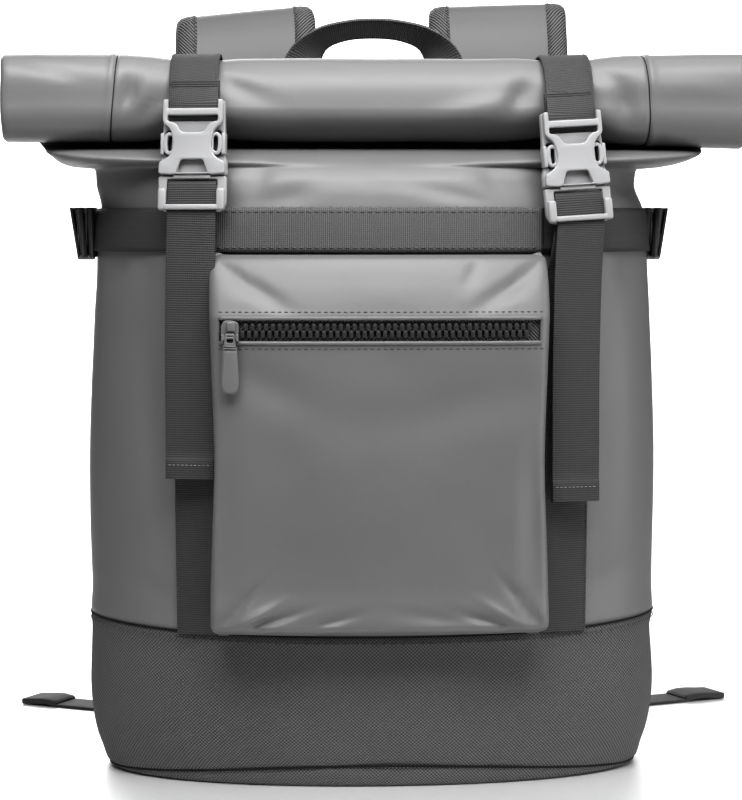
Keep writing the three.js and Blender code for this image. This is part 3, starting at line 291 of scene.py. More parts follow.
BAG_ROWS = sections_of_the_bag()
section_cache = {}


def bag_section(z):
    key = round(z, 3)
    if key not in section_cache:
        columns = ("half", "front", "back", "front_round", "back_round")
        section_cache[key] = {name: between(BAG_ROWS, "z", name, z) for name in columns}
        section_cache[key]["z"] = z
    return section_cache[key]


# A point on a section: turn 0 is the right side, a quarter the back, three quarters the front.
def on_section(section, turn, out=0.0):
    angle = turn * 2 * math.pi
    cos, sin = math.cos(angle), math.sin(angle)
    middle = (section["front"] + section["back"]) / 2
    reach = (section["back"] - section["front"]) / 2 + out
    power = section["front_round"] if sin < 0 else section["back_round"]
    fullness = (abs(cos) ** power + abs(sin) ** power) ** (-1 / power)
    x = (section["half"] + out) * cos * fullness
    return Vector((x, middle + reach * sin * fullness, section["z"]))


def side_y(x, z, way):
    s = bag_section(z)
    power = s["front_round"] if way < 0 else s["back_round"]
    across = clamp(abs(x) / s["half"]) ** power
    reach = (s["back"] - s["front"]) / 2
    return (s["front"] + s["back"]) / 2 + way * reach * (1 - across) ** (1 / power)


def front_y(x, z):
    return side_y(x, z, -1)


def back_y(x, z):
    return side_y(x, z, 1)


def along_surface(surface, x, z):
    return Vector((2, surface(x + 1, z) - surface(x - 1, z), 0)).normalized()


# Materials: pitches of weave and ribs in millimetres
YARN_PITCH = 1.1
RIB_SHARE = 0.75
BASE_WEAVE_PITCH = 2.1
TWILL_PITCH = 2.1


def new_material(name, color, roughness, specular=0.5):
    material = bpy.data.materials.new(name)
    material.use_nodes = True
    shader = material.node_tree.nodes["Principled BSDF"]
    shader.inputs["Base Color"].default_value = (color, color, color * 1.015, 1)
    shader.inputs["Roughness"].default_value = roughness
    shader.inputs["Specular IOR Level"].default_value = specular
    return material, material.node_tree, shader


def add_node(tree, kind, settings=None, **values):
    made = tree.nodes.new(kind)
    for name, value in (settings or {}).items():
        setattr(made, name, value)
    for name, value in values.items():
        made.inputs[name.replace("_", " ")].default_value = value
    return made


def math_node(tree, operation, first, second=None):
    made = tree.nodes.new("ShaderNodeMath")
    made.operation = operation
    for socket, value in zip(made.inputs, (first, second)):
        if value is None:
            continue
        if isinstance(value, (int, float)):
            socket.default_value = value
        else:
            tree.links.new(value, socket)
    return made.outputs[0]


def bump_from(tree, shader, height, distance, strength=1.0, under=None):
    bump = add_node(tree, "ShaderNodeBump", Strength=strength, Distance=distance)
    tree.links.new(height, bump.inputs["Height"])
    if under is not None:
        tree.links.new(under, bump.inputs["Normal"])
    tree.links.new(bump.outputs["Normal"], shader.inputs["Normal"])
    return bump.outputs["Normal"]


def noise_height(tree, scale, detail=3.0, roughness=0.5, coordinates="Object"):
    place = tree.nodes.new("ShaderNodeTexCoord")
    grain = add_node(tree, "ShaderNodeTexNoise", Scale=scale, Detail=detail, Roughness=roughness)
    tree.links.new(place.outputs[coordinates], grain.inputs["Vector"])
    return grain.outputs["Fac"]


def shade_between(tree, shader, factor, dark, light, socket="Base Color"):
    ramp = tree.nodes.new("ShaderNodeMapRange")
    ramp.inputs["To Min"].default_value = dark
    ramp.inputs["To Max"].default_value = light
    tree.links.new(factor, ramp.inputs["Value"])
    tree.links.new(ramp.outputs["Result"], shader.inputs[socket])
    return ramp


def cloth_place(tree):
    place = add_node(tree, "ShaderNodeUVMap", {"uv_map": "cloth"})
    parts = tree.nodes.new("ShaderNodeSeparateXYZ")
    tree.links.new(place.outputs["UV"], parts.inputs["Vector"])
    return parts.outputs["X"], parts.outputs["Y"]


# A wave along one direction of the cloth, from -1 to 1, repeating at a pitch in millimetres.
def wave(tree, along, pitch):
    turns = math_node(tree, "MULTIPLY", along, 2000 * math.pi / pitch)
    return math_node(tree, "SINE", turns)


def half_of(tree, value):
    made = tree.nodes.new("ShaderNodeMath")
    made.operation = "MULTIPLY_ADD"
    tree.links.new(value, made.inputs[0])
    made.inputs[1].default_value = 0.5
    made.inputs[2].default_value = 0.5
    return made.outputs[0]


def coated_cloth():
    material, tree, shader = new_material("coated cloth", color=0.2, roughness=0.44)
    cloud = noise_height(tree, 9, 2)
    shade_between(tree, shader, cloud, 0.137, 0.162)
    handled = noise_height(tree, 34, 4)
    shade_between(tree, shader, handled, 0.4, 0.5, "Roughness")
    rumple = bump_from(tree, shader, noise_height(tree, 60, 3), 0.0006, 0.35)
    bump_from(tree, shader, noise_height(tree, 1400, 2), 0.00006, 0.5, rumple)
    return material


def pad_cloth():
    material, tree, shader = new_material("pad cloth", color=0.17, roughness=0.5, specular=0.4)
    shade_between(tree, shader, noise_height(tree, 14, 2), 0.115, 0.14)
    bump_from(tree, shader, noise_height(tree, 1200, 2), 0.00006, 0.5)
    return material


def woven_base():
    material, tree, shader = new_material("woven base cloth", color=0.1, roughness=0.72, specular=0.35)
    across, up = cloth_place(tree)
    waves = (wave(tree, across, BASE_WEAVE_PITCH), wave(tree, up, BASE_WEAVE_PITCH))
    weave = half_of(tree, math_node(tree, "MULTIPLY", *waves))
    shade_between(tree, shader, weave, 0.02, 0.19)
    bump_from(tree, shader, weave, 0.0004, 0.8)
    return material


def webbing(name, dark, light, pitch, depth):
    material, tree, shader = new_material(name, dark, roughness=0.62, specular=0.4)
    across, along = cloth_place(tree)
    ribs = wave(tree, along, pitch)
    yarns = wave(tree, across, YARN_PITCH)
    heavy = math_node(tree, "MULTIPLY", ribs, RIB_SHARE)
    fine = math_node(tree, "MULTIPLY", yarns, 1 - RIB_SHARE)
    weave = half_of(tree, math_node(tree, "ADD", heavy, fine))
    shade_between(tree, shader, weave, dark, light)
    bump_from(tree, shader, weave, depth, 0.8)
    return material


def twill(name, dark, light):
    material, tree, shader = new_material(name, dark, roughness=0.6, specular=0.4)
    across, along = cloth_place(tree)
    slant = math_node(tree, "ADD", math_node(tree, "ABSOLUTE", across), along)
    weave = half_of(tree, wave(tree, slant, TWILL_PITCH))
    shade_between(tree, shader, weave, dark, light)
    bump_from(tree, shader, weave, 0.0004, 0.9)
    return material


def moulded_plastic(name, color, roughness):
    material, tree, shader = new_material(name, color, roughness)
    wear = noise_height(tree, 180, 3)
    shade_between(tree, shader, wear, roughness - 0.04, roughness + 0.06, "Roughness")
    bump_from(tree, shader, noise_height(tree, 3000, 2), 0.00003, 0.4)
    return material


def thread_look(name, color):
    material, tree, shader = new_material(name, color, roughness=0.7, specular=0.3)
    bump_from(tree, shader, noise_height(tree, 2600, 1), 0.00005, 0.5)
    return material


LOOKS = {
    "coated": coated_cloth(),
    "pad": pad_cloth(),
    "base": woven_base(),
    "web": webbing("webbing", dark=0.03, light=0.075, pitch=1.25, depth=0.0003),
    "band": webbing("ribbed band", dark=0.055, light=0.15, pitch=1.05, depth=0.0004),
    "side band": webbing("side band", dark=0.035, light=0.06, pitch=1.0, depth=0.0001),
    "handle": webbing("handle webbing", dark=0.05, light=0.13, pitch=1.25, depth=0.0003),
    "twill": twill("binding tape", dark=0.015, light=0.17),
    "plastic": moulded_plastic("light plastic", color=0.33, roughness=0.3),
    "slider grey": moulded_plastic("side slider plastic", color=0.3, roughness=0.35),
    "dark plastic": moulded_plastic("dark plastic", color=0.04, roughness=0.36),
    # Near-black for the hollow inside each buckle: painted shade, not the plastic's own colour
    "buckle shadow": moulded_plastic("buckle inside", color=0.03, roughness=0.5),
    "pull grey": moulded_plastic("zipper pull plastic", color=0.16, roughness=0.3),
    "thread": thread_look("thread", 0.09),
    "light thread": thread_look("light thread", 0.3),
    "seam": thread_look("seam shadow", 0.012),
}


# Pieces
def finish_piece(name, bm, look, node=None, body="bag", wall=0.0, sharp=None):
    name = name.replace(" ", "_")
    for vert in bm.verts:
        vert.co = (vert.co + SHIFT) / 1000
    mesh = bpy.data.meshes.new(name)
    bm.to_mesh(mesh)
    bm.free()
    mesh.materials.append(LOOKS[look])
    mesh.shade_smooth()
    if sharp:
        mesh.set_sharp_from_angle(angle=math.radians(sharp))
    piece = bpy.data.objects.new(name, mesh)
    bpy.context.scene.collection.objects.link(piece)
    if wall:
        solid = piece.modifiers.new("wall", "SOLIDIFY")
        solid.thickness = wall / 1000
        solid.offset = -1
    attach(piece, body)
    if node:
        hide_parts(node)
    return piece


# A grid of cloth whose points come from surface(column, row). Its "cloth" map is in metres.
def cloth_grid(columns, rows, surface, wraps=False, away_from=None):
    bm = bmesh.new()
    bmesh.ops.create_grid(bm, x_segments=columns, y_segments=rows, size=1)
    spots = {}
    for vert in bm.verts:
        spots[vert] = (round((vert.co.x + 1) / 2 * columns), round((vert.co.y + 1) / 2 * rows))
    points = {spot: surface(*spot) for spot in spots.values()}
    middle_row, middle_column = rows // 2, columns // 2
    runs_across, runs_up = [0.0], [0.0]
    for i in range(columns):
        step = (points[(i + 1, middle_row)] - points[(i, middle_row)]).length
        runs_across.append(runs_across[-1] + step / 1000)
    for j in range(rows):
        step = (points[(middle_column, j + 1)] - points[(middle_column, j)]).length
        runs_up.append(runs_up[-1] + step / 1000)
    chart = bm.loops.layers.uv.new("cloth")
    for face in bm.faces:
        for loop in face.loops:
            i, j = spots[loop.vert]
            loop[chart].uv = (runs_across[i] - runs_across[-1] / 2, runs_up[j])
    for vert, spot in spots.items():
        vert.co = points[spot]
    if wraps:
        bmesh.ops.remove_doubles(bm, verts=bm.verts, dist=0.0005)
    turn_outward(bm, away_from)
    return bm


def turn_outward(bm, away_from=None):
    bmesh.ops.recalc_face_normals(bm, faces=bm.faces)
    if away_from is not None:
        bm.normal_update()
        agreement = 0.0
        for face in bm.faces:
            agreement += (face.calc_center_median() - away_from).dot(face.normal) * face.calc_area()
        if agreement < 0:
            bmesh.ops.reverse_faces(bm, faces=bm.faces)


# The flat section of webbing, with softened edges: across and up as shares of its halves.
WEB_SECTION = (
    (-1, -0.45), (-0.99, -0.85), (-0.96, -1), (-0.5, -1), (0, -1), (0.5, -1), (0.96, -1),
    (0.99, -0.85), (1, -0.45), (1, 0.45), (0.99, 0.85), (0.96, 1), (0.5, 1), (0, 1),
    (-0.5, 1), (-0.96, 1), (-0.99, 0.85), (-1, 0.45),
)
ROUND_SECTION = tuple((math.cos(a * math.pi / 5), math.sin(a * math.pi / 5)) for a in range(10))


def station(at, across, width=STRAP_WIDTH, thickness=WEB):
    return {"at": Vector(at), "across": Vector(across), "width": width, "thickness": thickness}


# Stations between the given ones, on a smooth curve through them.
def softened(stations, steps=4):
    made = []
    last = len(stations) - 1
    for i in range(last):
        p0, p1 = stations[max(i - 1, 0)]["at"], stations[i]["at"]
        p2, p3 = stations[i + 1]["at"], stations[min(i + 2, last)]["at"]
        a, b = stations[i], stations[i + 1]
        span = (p2 - p1).length
        before, after = max((p1 - p0).length, 1e-6), max((p3 - p2).length, 1e-6)
        m1 = (p2 - p1 + (p1 - p0) * span / before) / 2 if i else p2 - p1
        m2 = (p2 - p1 + (p3 - p2) * span / after) / 2 if i < last - 1 else p2 - p1
        m1 = m1 * min(1.0, span / max(m1.length, 1e-6))
        m2 = m2 * min(1.0, span / max(m2.length, 1e-6))
        for k in range(steps):
            t = k / steps
            h1, h2 = (1 + 2 * t) * (1 - t) ** 2, t * (1 - t) ** 2
            h3, h4 = t * t * (3 - 2 * t), t * t * (t - 1)
            made.append(station(
                p1 * h1 + m1 * h2 + p2 * h3 + m2 * h4,
                a["across"].lerp(b["across"], t),
                mix(a["width"], b["width"], t),
                mix(a["thickness"], b["thickness"], t),
            ))
    made.append(dict(stations[-1]))
    for i, row in enumerate(made):
        tangent = (made[min(i + 1, len(made) - 1)]["at"] - made[max(i - 1, 0)]["at"]).normalized()
        across = row["across"] - tangent * row["across"].dot(tangent)
        row["across"] = across.normalized()
        row["up"] = tangent.cross(row["across"]).normalized()
    return made


# A place on a ribbon at one of its rows, as shares of its half width and half thickness.
def on_ribbon(row, across, up):
    sideways = row["across"] * (across * row["width"] / 2)
    return row["at"] + sideways + row["up"] * (up * row["thickness"] / 2)


def rounded_key(point):
    return tuple(round(c, 3) for c in point)


def ribbon_mesh(rows, section=WEB_SECTION):
    count = len(section)

    def surface(i, j):
        return on_ribbon(rows[j], *section[i % count])

    bm = cloth_grid(count, len(rows) - 1, surface, wraps=True)
    chart = bm.loops.layers.uv["cloth"]
    runs = [0.0]
    for before, after in zip(rows, rows[1:]):
        runs.append(runs[-1] + (after["at"] - before["at"]).length / 1000)
    nearest = {}
    for j, row in enumerate(rows):
        for i in range(count):
            nearest[rounded_key(surface(i, j))] = (section[i][0] * row["width"] / 2000, runs[j])
    for face in bm.faces:
        for loop in face.loops:
            found = nearest.get(rounded_key(loop.vert.co))
            if found:
                loop[chart].uv = found
    bmesh.ops.holes_fill(bm, edges=[edge for edge in bm.edges if edge.is_boundary], sides=0)
    bmesh.ops.recalc_face_normals(bm, faces=bm.faces)
    return bm


def merge(target, source):
    mesh = bpy.data.meshes.new("joined")
    source.to_mesh(mesh)
    source.free()
    target.from_mesh(mesh)
    bpy.data.meshes.remove(mesh)


# Stitches: short lengths of thread lying on a surface, gathered into one piece a colour.
threads = {"thread": bmesh.new(), "light thread": bmesh.new(), "seam": bmesh.new()}


def stitch(points, normals, color="thread", pitch=3.4, length=2.3, width=0.7, lift=0.1):
    left = pitch / 2
    for i in range(len(points) - 1):
        start, end = points[i], points[i + 1]
        span = (end - start).length
        if span < 1e-6:
            continue
        along = (end - start) / span
        while left <= span:
            share = left / span
            normal = normals[i].lerp(normals[i + 1], share).normalized()
            across = normal.cross(along).normalized()
            at = start.lerp(end, share) + normal * lift
            turn = Matrix((along, across, normal)).transposed().to_4x4()
            size = Matrix.Diagonal((length / 2, width / 2, width / 2.6, 1))
            bmesh.ops.create_icosphere(
                threads[color], subdivisions=1, radius=1, matrix=Matrix.Translation(at) @ turn @ size
            )
            left += pitch
        left -= span


def ribbon_stitches(rows, share, side, color="thread", first=0, last=None, **sizes):
    chosen = rows[first:last]
    points = [on_ribbon(row, share, side) for row in chosen]
    stitch(points, [r["up"] * side for r in chosen], color, **sizes)


def cross_stitches(row, side, color="thread", half=0.82, **sizes):
    points = [on_ribbon(row, share * half, side) for share in (-1, -0.5, 0, 0.5, 1)]
    stitch(points, [row["up"] * side] * 5, color, **sizes)


def ribbon_piece(name, stations, look="web", node=None, section=WEB_SECTION, steps=4):
    rows = softened(stations, steps)
    finish_piece(name, ribbon_mesh(rows, section), look, node, sharp=40)
    return rows


# Moulded plates: rounded outlines with holes, given as (across, up, corner radius).
def rounded(corners, steps=5):
    made = []
    for i, (x, y, radius) in enumerate(corners):
        here = Vector((x, y))
        before = Vector(corners[i - 1][:2]) - here
        after = Vector(corners[(i + 1) % len(corners)][:2]) - here
        if radius <= 0:
            made.append(here)
            continue
        reach = min(radius, before.length * 0.48, after.length * 0.48)
        start, end = here + before.normalized() * reach, here + after.normalized() * reach
        for k in range(steps + 1):
            t = k / steps
            made.append(start * (1 - t) ** 2 + here * (2 * t * (1 - t)) + end * t * t)
    return made


def rounded_window(left, right, low, high, radius):
    return rounded(((left, low, radius), (right, low, radius), (right, high, radius), (left, high, radius)))


def moulded_mesh(outlines, thickness, middle_y, bevel=0.5):
    curve = bpy.data.curves.new("outline", "CURVE")
    curve.dimensions = "2D"
    curve.fill_mode = "BOTH"
    curve.extrude = thickness / 2 - bevel
    curve.bevel_depth = bevel
    curve.bevel_resolution = 2
    curve.offset = -bevel
    for outline in outlines:
        spline = curve.splines.new("POLY")
        spline.points.add(len(outline) - 1)
        for point, place in zip(spline.points, outline):
            point.co = (place.x, place.y, 0, 1)
        spline.use_cyclic_u = True
    holder = bpy.data.objects.new("outline", curve)
    mesh = bpy.data.meshes.new_from_object(holder)
    bm = bmesh.new()
    bm.from_mesh(mesh)
    bpy.data.objects.remove(holder)
    bpy.data.curves.remove(curve)
    bpy.data.meshes.remove(mesh)
    bmesh.ops.remove_doubles(bm, verts=bm.verts, dist=0.002)
    bmesh.ops.rotate(bm, verts=bm.verts, cent=(0, 0, 0), matrix=Matrix.Rotation(math.pi / 2, 3, "X"))
    bmesh.ops.translate(bm, verts=bm.verts, vec=(0, middle_y, 0))
    bmesh.ops.recalc_face_normals(bm, faces=bm.faces)
    return bm


def rounded_box(width, depth, height, middle, bevel=0.5, segments=3):
    bm = bmesh.new()
    bmesh.ops.create_cube(bm, size=1)
    bmesh.ops.scale(bm, verts=bm.verts, vec=(width, depth, height))
    bmesh.ops.bevel(
        bm, geom=bm.edges[:], offset=bevel, segments=segments, profile=0.5, affect="EDGES", material=-1
    )
    bmesh.ops.translate(bm, verts=bm.verts, vec=middle)
    return bm


def bar(radius, length, middle, sides=20):
    bm = bmesh.new()
    bmesh.ops.create_cone(
        bm, cap_ends=True, segments=sides, radius1=radius, radius2=radius, depth=length,
        matrix=Matrix.Translation(middle) @ Matrix.Rotation(math.pi / 2, 4, "Y"),
    )
    return bm


# Slack cloth: how far the surface stands in or out at a place
def dent(x, z, row):
    angle = math.radians(row["turn"])
    dx, dz = x - row["x"], z - row["z"]
    along = dx * math.cos(angle) + dz * math.sin(angle)
    off = -dx * math.sin(angle) + dz * math.cos(angle)
    return -row["depth"] * math.exp(-((along / row["wide"]) ** 2) - (off / row["tall"]) ** 2)


BODY_DENTS = (
    {"x": -66, "z": 338, "wide": 8, "tall": 18, "depth": 2.4, "turn": -26},
    {"x": -48, "z": 330, "wide": 16, "tall": 6, "depth": 1.6, "turn": 14},
    {"x": 72, "z": 338, "wide": 9, "tall": 16, "depth": 2.0, "turn": 28},
    {"x": 44, "z": 331, "wide": 22, "tall": 5, "depth": 1.3, "turn": -10},
    {"x": -148, "z": 290, "wide": 7, "tall": 12, "depth": 2.6, "turn": -30},
    {"x": -132, "z": 292, "wide": 6, "tall": 10, "depth": 1.8, "turn": 18},
    {"x": 146, "z": 288, "wide": 8, "tall": 14, "depth": 2.4, "turn": 28},
    {"x": -128, "z": 200, "wide": 7, "tall": 60, "depth": 1.4, "turn": 4},
    {"x": 132, "z": 190, "wide": 8, "tall": 66, "depth": 1.6, "turn": -3},
    {"x": 126, "z": 112, "wide": 18, "tall": 8, "depth": 1.6, "turn": 18},
    {"x": -128, "z": 108, "wide": 16, "tall": 7, "depth": 1.4, "turn": -16},
)

# At both sides the cloth under the roll folds over the bag's shoulder and casts a line.
EAR_DEPTH = 3.0
EAR_FROM_MIDDLE = 88
EAR_FADE = 26
EAR_LOW = 346.6
EAR_LIP = 1.6
EAR_HIGH = 349
EAR_SLOPE = 8

# How deep the cloth's slow waves, quick waves and gathers stand, and how long they are
SLOW_DEPTH = 1.3
SLOW_LENGTH = 62
QUICK_DEPTH = 0.35
QUICK_LENGTH = 23
GATHER_DEPTH = 0.8
ROLLED_FROM = 356
ROLLED_FADE = 14
SEWN_FADE = 18


def ear_fold(x, z):
    far = ease((abs(x) - EAR_FROM_MIDDLE) / EAR_FADE)
    return EAR_DEPTH * far * ease((z - EAR_LOW) / EAR_LIP) * (1 - ease((z - EAR_HIGH) / EAR_SLOPE))


def body_slack(point):
    x, y, z = point
    under_band = hump(z - (BAND_BOTTOM + BAND_HEIGHT / 2), BAND_HEIGHT * 0.62)
    sewn = ease((z - BASE_HEIGHT) / SEWN_FADE)
    rolled = 1 - ease((z - ROLLED_FROM) / ROLLED_FADE)
    free = (1 - under_band) * sewn * rolled
    slow = noise.noise(Vector((x, y * 1.4, z * 0.7)) / SLOW_LENGTH + Vector((3.1, 0, 1.7)))
    quick = noise.noise(Vector((x * 1.3, y * 1.3, z)) / QUICK_LENGTH + Vector((0, 7.3, 2.2)))
    out = -SLOW_DEPTH * (0.5 + 0.5 * slow) - QUICK_DEPTH * (0.5 + 0.5 * quick)
    if y < 0:
        for row in BODY_DENTS:
            out += dent(x, z, row)
    gathered = ease((z - 334) / 14)
    out += gathered * GATHER_DEPTH * noise.noise(Vector((x / 16, y / 40, z / 50)))
    return out * free


# The seam between bag and base climbs a little toward both sides.
def seam_rise(x):
    return SEAM_RISE * clamp(abs(x) / (BODY_WIDTH / 2)) ** 3


def build_body():
    low, high = BASE_HEIGHT + GAP, ROLL_HEIGHT - GAP
    heights = [low + PLAIN_RUN * k / PLAIN_ROWS for k in range(PLAIN_ROWS + 1)]
    heights += [mix(heights[-1], high, (k + 1) / GATHER_ROWS) for k in range(GATHER_ROWS)]

    def surface(i, j):
        section = bag_section(heights[j])
        point = on_section(section, (i % BAG_COLUMNS) / BAG_COLUMNS)
        middle = Vector((0, (section["front"] + section["back"]) / 2, point.z))
        point = point + (point - middle).normalized() * body_slack(point)
        lean = ease((point.z - NECK_LEAN_LOW) / 16) * (1 - ease((point.z - NECK_LEAN_HIGH) / 8))
        point.x += NECK_LEAN * lean
        if point.y < middle.y:
            point.y -= ear_fold(point.x, point.z)
        point.z += seam_rise(point.x) * (1 - ease((point.z - BASE_HEIGHT) / SEAM_RISE_REACH))
        return point

    inside = Vector((0, 0, 230))
    bm = cloth_grid(BAG_COLUMNS, len(heights) - 1, surface, wraps=True, away_from=inside)
    finish_piece("bag body", bm, "coated", "body_shell", wall=CLOTH)


# The base's profile: heights are shares of its height, sizes are shares of its top plan.
BASE_PROFILE = (
    {"step": 0, "height": 0.0, "size": 0.02},
    {"step": 1, "height": 0.0, "size": 0.5},
    {"step": 2, "height": 0.0, "size": 0.895},
    {"step": 3, "height": 0.02, "size": 0.935},
    {"step": 4, "height": 0.14, "size": 0.966},
    {"step": 5, "height": 0.27, "size": 0.986},
    {"step": 6, "height": 0.6, "size": 1.0},
    {"step": 7, "height": 1.0, "size": 1.0},
)
BOTTOM_SEAM_STEP = 4.03
SIDE_SEAM_STEP = 3.15


def base_point(turn, step, out=0.0):
    top = bag_section(BASE_HEIGHT)
    height = between(BASE_PROFILE, "step", "height", step)
    size = between(BASE_PROFILE, "step", "size", step)
    middle = (top["front"] + top["back"]) / 2
    section = dict(
        top, z=height * BASE_HEIGHT, half=top["half"] * size,
        front=mix(middle, top["front"], size), back=mix(middle, top["back"], size),
    )
    return on_section(section, turn, out)


# The bottom seam runs level across the front and sinks to the floor toward both sides.
def bottom_seam_step(turn):
    return mix(BOTTOM_SEAM_STEP, SIDE_SEAM_STEP, abs(math.cos(turn * 2 * math.pi)) ** 1.6)


def build_base():
    steps = [0, 0.6, 1, 1.5, 2, 2.2, 2.4, 2.6, 2.8, 3.0]
    steps += [3.2, 3.4, 3.6, 3.8, 3.9, 4.0, 4.1, 4.2, 4.4, 4.7, 5.0]
    steps += [5 + k / 8 for k in range(1, 17)]

    def surface(i, j):
        turn = (i % BAG_COLUMNS) / BAG_COLUMNS
        point = base_point(turn, steps[j])
        share = point.z / BASE_HEIGHT
        seam_z = base_point(turn, bottom_seam_step(turn)).z
        inward = -0.9 * hump(point.z - seam_z, 1.4)
        slack = 1.1 * noise.noise(Vector((point.x / 38, point.y / 38, point.z / 30)))
        puff = 1.6 * math.sin(math.pi * clamp(share)) ** 2 - 0.6
        seam = ease((BASE_HEIGHT - point.z) / 10) * ease(share / 0.2)
        point = base_point(turn, steps[j], (slack + puff - 0.6) * seam + inward * (point.z > 2))
        point.z += seam_rise(point.x) * ease(share)
        return point

    inside = Vector((0, 0, 50))
    bm = cloth_grid(BAG_COLUMNS, len(steps) - 1, surface, wraps=True, away_from=inside)
    finish_piece("base", bm, "base", "base", wall=BASE_CLOTH)


# The roll along its length: how much it rises, how tall it is and how square its section.
ROLL_SHAPE = (
    {"x": -212, "rise": 0.2, "tall": 1.04, "round": 3.2},
    {"x": -150, "rise": 0.4, "tall": 1.05, "round": 2.8},
    {"x": -108, "rise": 0.2, "tall": 0.99, "round": 2.2},
    {"x": -50, "rise": -0.4, "tall": 1.0, "round": 2.0},
    {"x": 50, "rise": -0.4, "tall": 1.0, "round": 2.0},
    {"x": 108, "rise": 0.6, "tall": 1.0, "round": 2.3},
    {"x": 152, "rise": -0.4, "tall": 1.1, "round": 2.8},
    {"x": 212, "rise": -0.8, "tall": 1.13, "round": 3.4},
)

# The roll sags: its front is flat from the top and turns under low down. Turns start at the back.
ROLL_SAG = (
    {"turn": 0.0, "reach": 1.0},
    {"turn": 0.3, "reach": 1.0},
    {"turn": 0.4, "reach": 0.93},
    {"turn": 0.465, "reach": 0.91},
    {"turn": 0.515, "reach": 0.95},
    {"turn": 0.55, "reach": 1.04},
    {"turn": 0.585, "reach": 1.01},
    {"turn": 0.64, "reach": 0.94},
    {"turn": 0.7, "reach": 0.97},
    {"turn": 0.75, "reach": 1.0},
    {"turn": 1.0, "reach": 1.0},
)

ROLL_DENTS = (
    {"x": -138, "z": 388, "wide": 4, "tall": 13, "depth": 4.2, "turn": -14},
    {"x": -130, "z": 376, "wide": 10, "tall": 4.5, "depth": 3.4, "turn": 34},
    {"x": -80, "z": 392, "wide": 18, "tall": 5, "depth": 2.0, "turn": -22},
    {"x": -186, "z": 402, "wide": 18, "tall": 2.6, "depth": 2.2, "turn": -16},
    {"x": 80, "z": 386, "wide": 6, "tall": 12, "depth": 3.2, "turn": -34},
    {"x": 58, "z": 380, "wide": 22, "tall": 5, "depth": -2.0, "turn": 12},
    {"x": 139, "z": 382, "wide": 5, "tall": 13, "depth": 3.4, "turn": 14},
    {"x": 128, "z": 398, "wide": 11, "tall": 4, "depth": 2.2, "turn": -24},
    {"x": 180, "z": 390, "wide": 30, "tall": 3, "depth": -0.8, "turn": -3},
)

roll_cache = {}


def roll_shape(x):
    key = round(x, 2)
    if key not in roll_cache:
        columns = ("rise", "tall", "round")
        roll_cache[key] = {name: between(ROLL_SHAPE, "x", name, x) for name in columns}
    return roll_cache[key]


# How far a seam of the roll wanders sideways on its way round.
def seam_drift(seam, cos, sin):
    return 2.2 * sin if seam < 0 else 2.0 * abs(cos) - 1.2 * sin


def roll_point(x, turn, out):
    shape = roll_shape(x)
    radius = ROLL_RADIUS - TUBE_THICKNESS / 2 - turn * (TUBE_THICKNESS + TURN_AIR) + out
    if out > 0:
        under_straps = max(hump(x - STRAP_SHIFT - side * STRAP_SPREAD, 19) for side in (-1, 1))
        radius -= ROLL_SQUEEZE * under_straps * ease(turn * 5) * (turn < 1.2)
    angle = turn * 2 * math.pi
    cos, sin = math.cos(angle), math.sin(angle)
    power = shape["round"]
    fullness = (abs(cos) ** power + abs(sin) ** power) ** (-1 / power)
    sagging = 1 - 0.5 * ease((abs(x) - 110) / 40)
    fullness *= mix(1, between(ROLL_SAG, "turn", "reach", turn % 1), sagging)
    tall = mix(1, shape["tall"], ease(turn * 6))
    y = -ROLL_SET_FORWARD + radius * cos * fullness
    z = ROLL_HEIGHT + shape["rise"] * ease(turn * 8) + radius * sin * fullness * tall
    if turn < 1 and out > 0:
        for row in ROLL_DENTS:
            inward = dent(x, z, row)
            if y < -ROLL_SET_FORWARD + 8:
                y -= inward * abs(cos)
                z -= inward * -sin * 0.4
        for seam in ROLL_SEAMS:
            off = x - seam - seam_drift(seam, cos, sin)
            groove = 0.8 * hump(off, 0.9) - 0.5 * hump(off - math.copysign(2.6, seam), 1.6)
            y -= groove * cos * fullness
            z -= groove * sin * fullness
        slow = 0.7 * noise.noise(Vector((x / 48, y / 40, z / 40))) * ease(turn * 8)
        y += slow * cos
        z += slow * sin
    return Vector((x, y, z))


def build_roll():
    half = ROLL_WIDTH / 2
    pitch = (ROLL_WIDTH - TUBE_THICKNESS) / ROLL_COLUMNS
    xs = [-half + TUBE_THICKNESS / 2 + k * pitch for k in range(ROLL_COLUMNS + 1)]
    for seam in ROLL_SEAMS:
        for off in (0.3, 0.9, 1.5, 2.1, 2.7, 3.4, 4.6):
            xs += [seam - off, seam + off]
    xs = sorted(set(xs))
    loop = [(x, 1.0) for x in xs]
    loop += [(half - 1.2, 0.8), (half - 0.3, 0.4), (half, 0.0), (half - 0.3, -0.4), (half - 1.2, -0.8)]
    loop += [(x, -1.0) for x in reversed(xs)]
    loop += [(-half + 1.2, -0.8), (-half + 0.3, -0.4), (-half, 0.0), (-half + 0.3, 0.4), (-half + 1.2, 0.8)]

    def surface(i, j):
        x, side = loop[i % len(loop)]
        end_wave = 1.3 * noise.noise(Vector((j / 9, 0, math.copysign(4, x)))) * hump(abs(x) - half, 14)
        turn = ROLL_TURNS * j / ROLL_ROWS
        return roll_point(x + math.copysign(end_wave, x), turn, side * TUBE_THICKNESS / 2)

    bm = cloth_grid(len(loop), ROLL_ROWS, surface, wraps=True)
    bmesh.ops.holes_fill(bm, edges=[e for e in bm.edges if e.is_boundary], sides=0)
    bmesh.ops.recalc_face_normals(bm, faces=bm.faces)
    finish_piece("roll", bm, "coated", "roll_top")


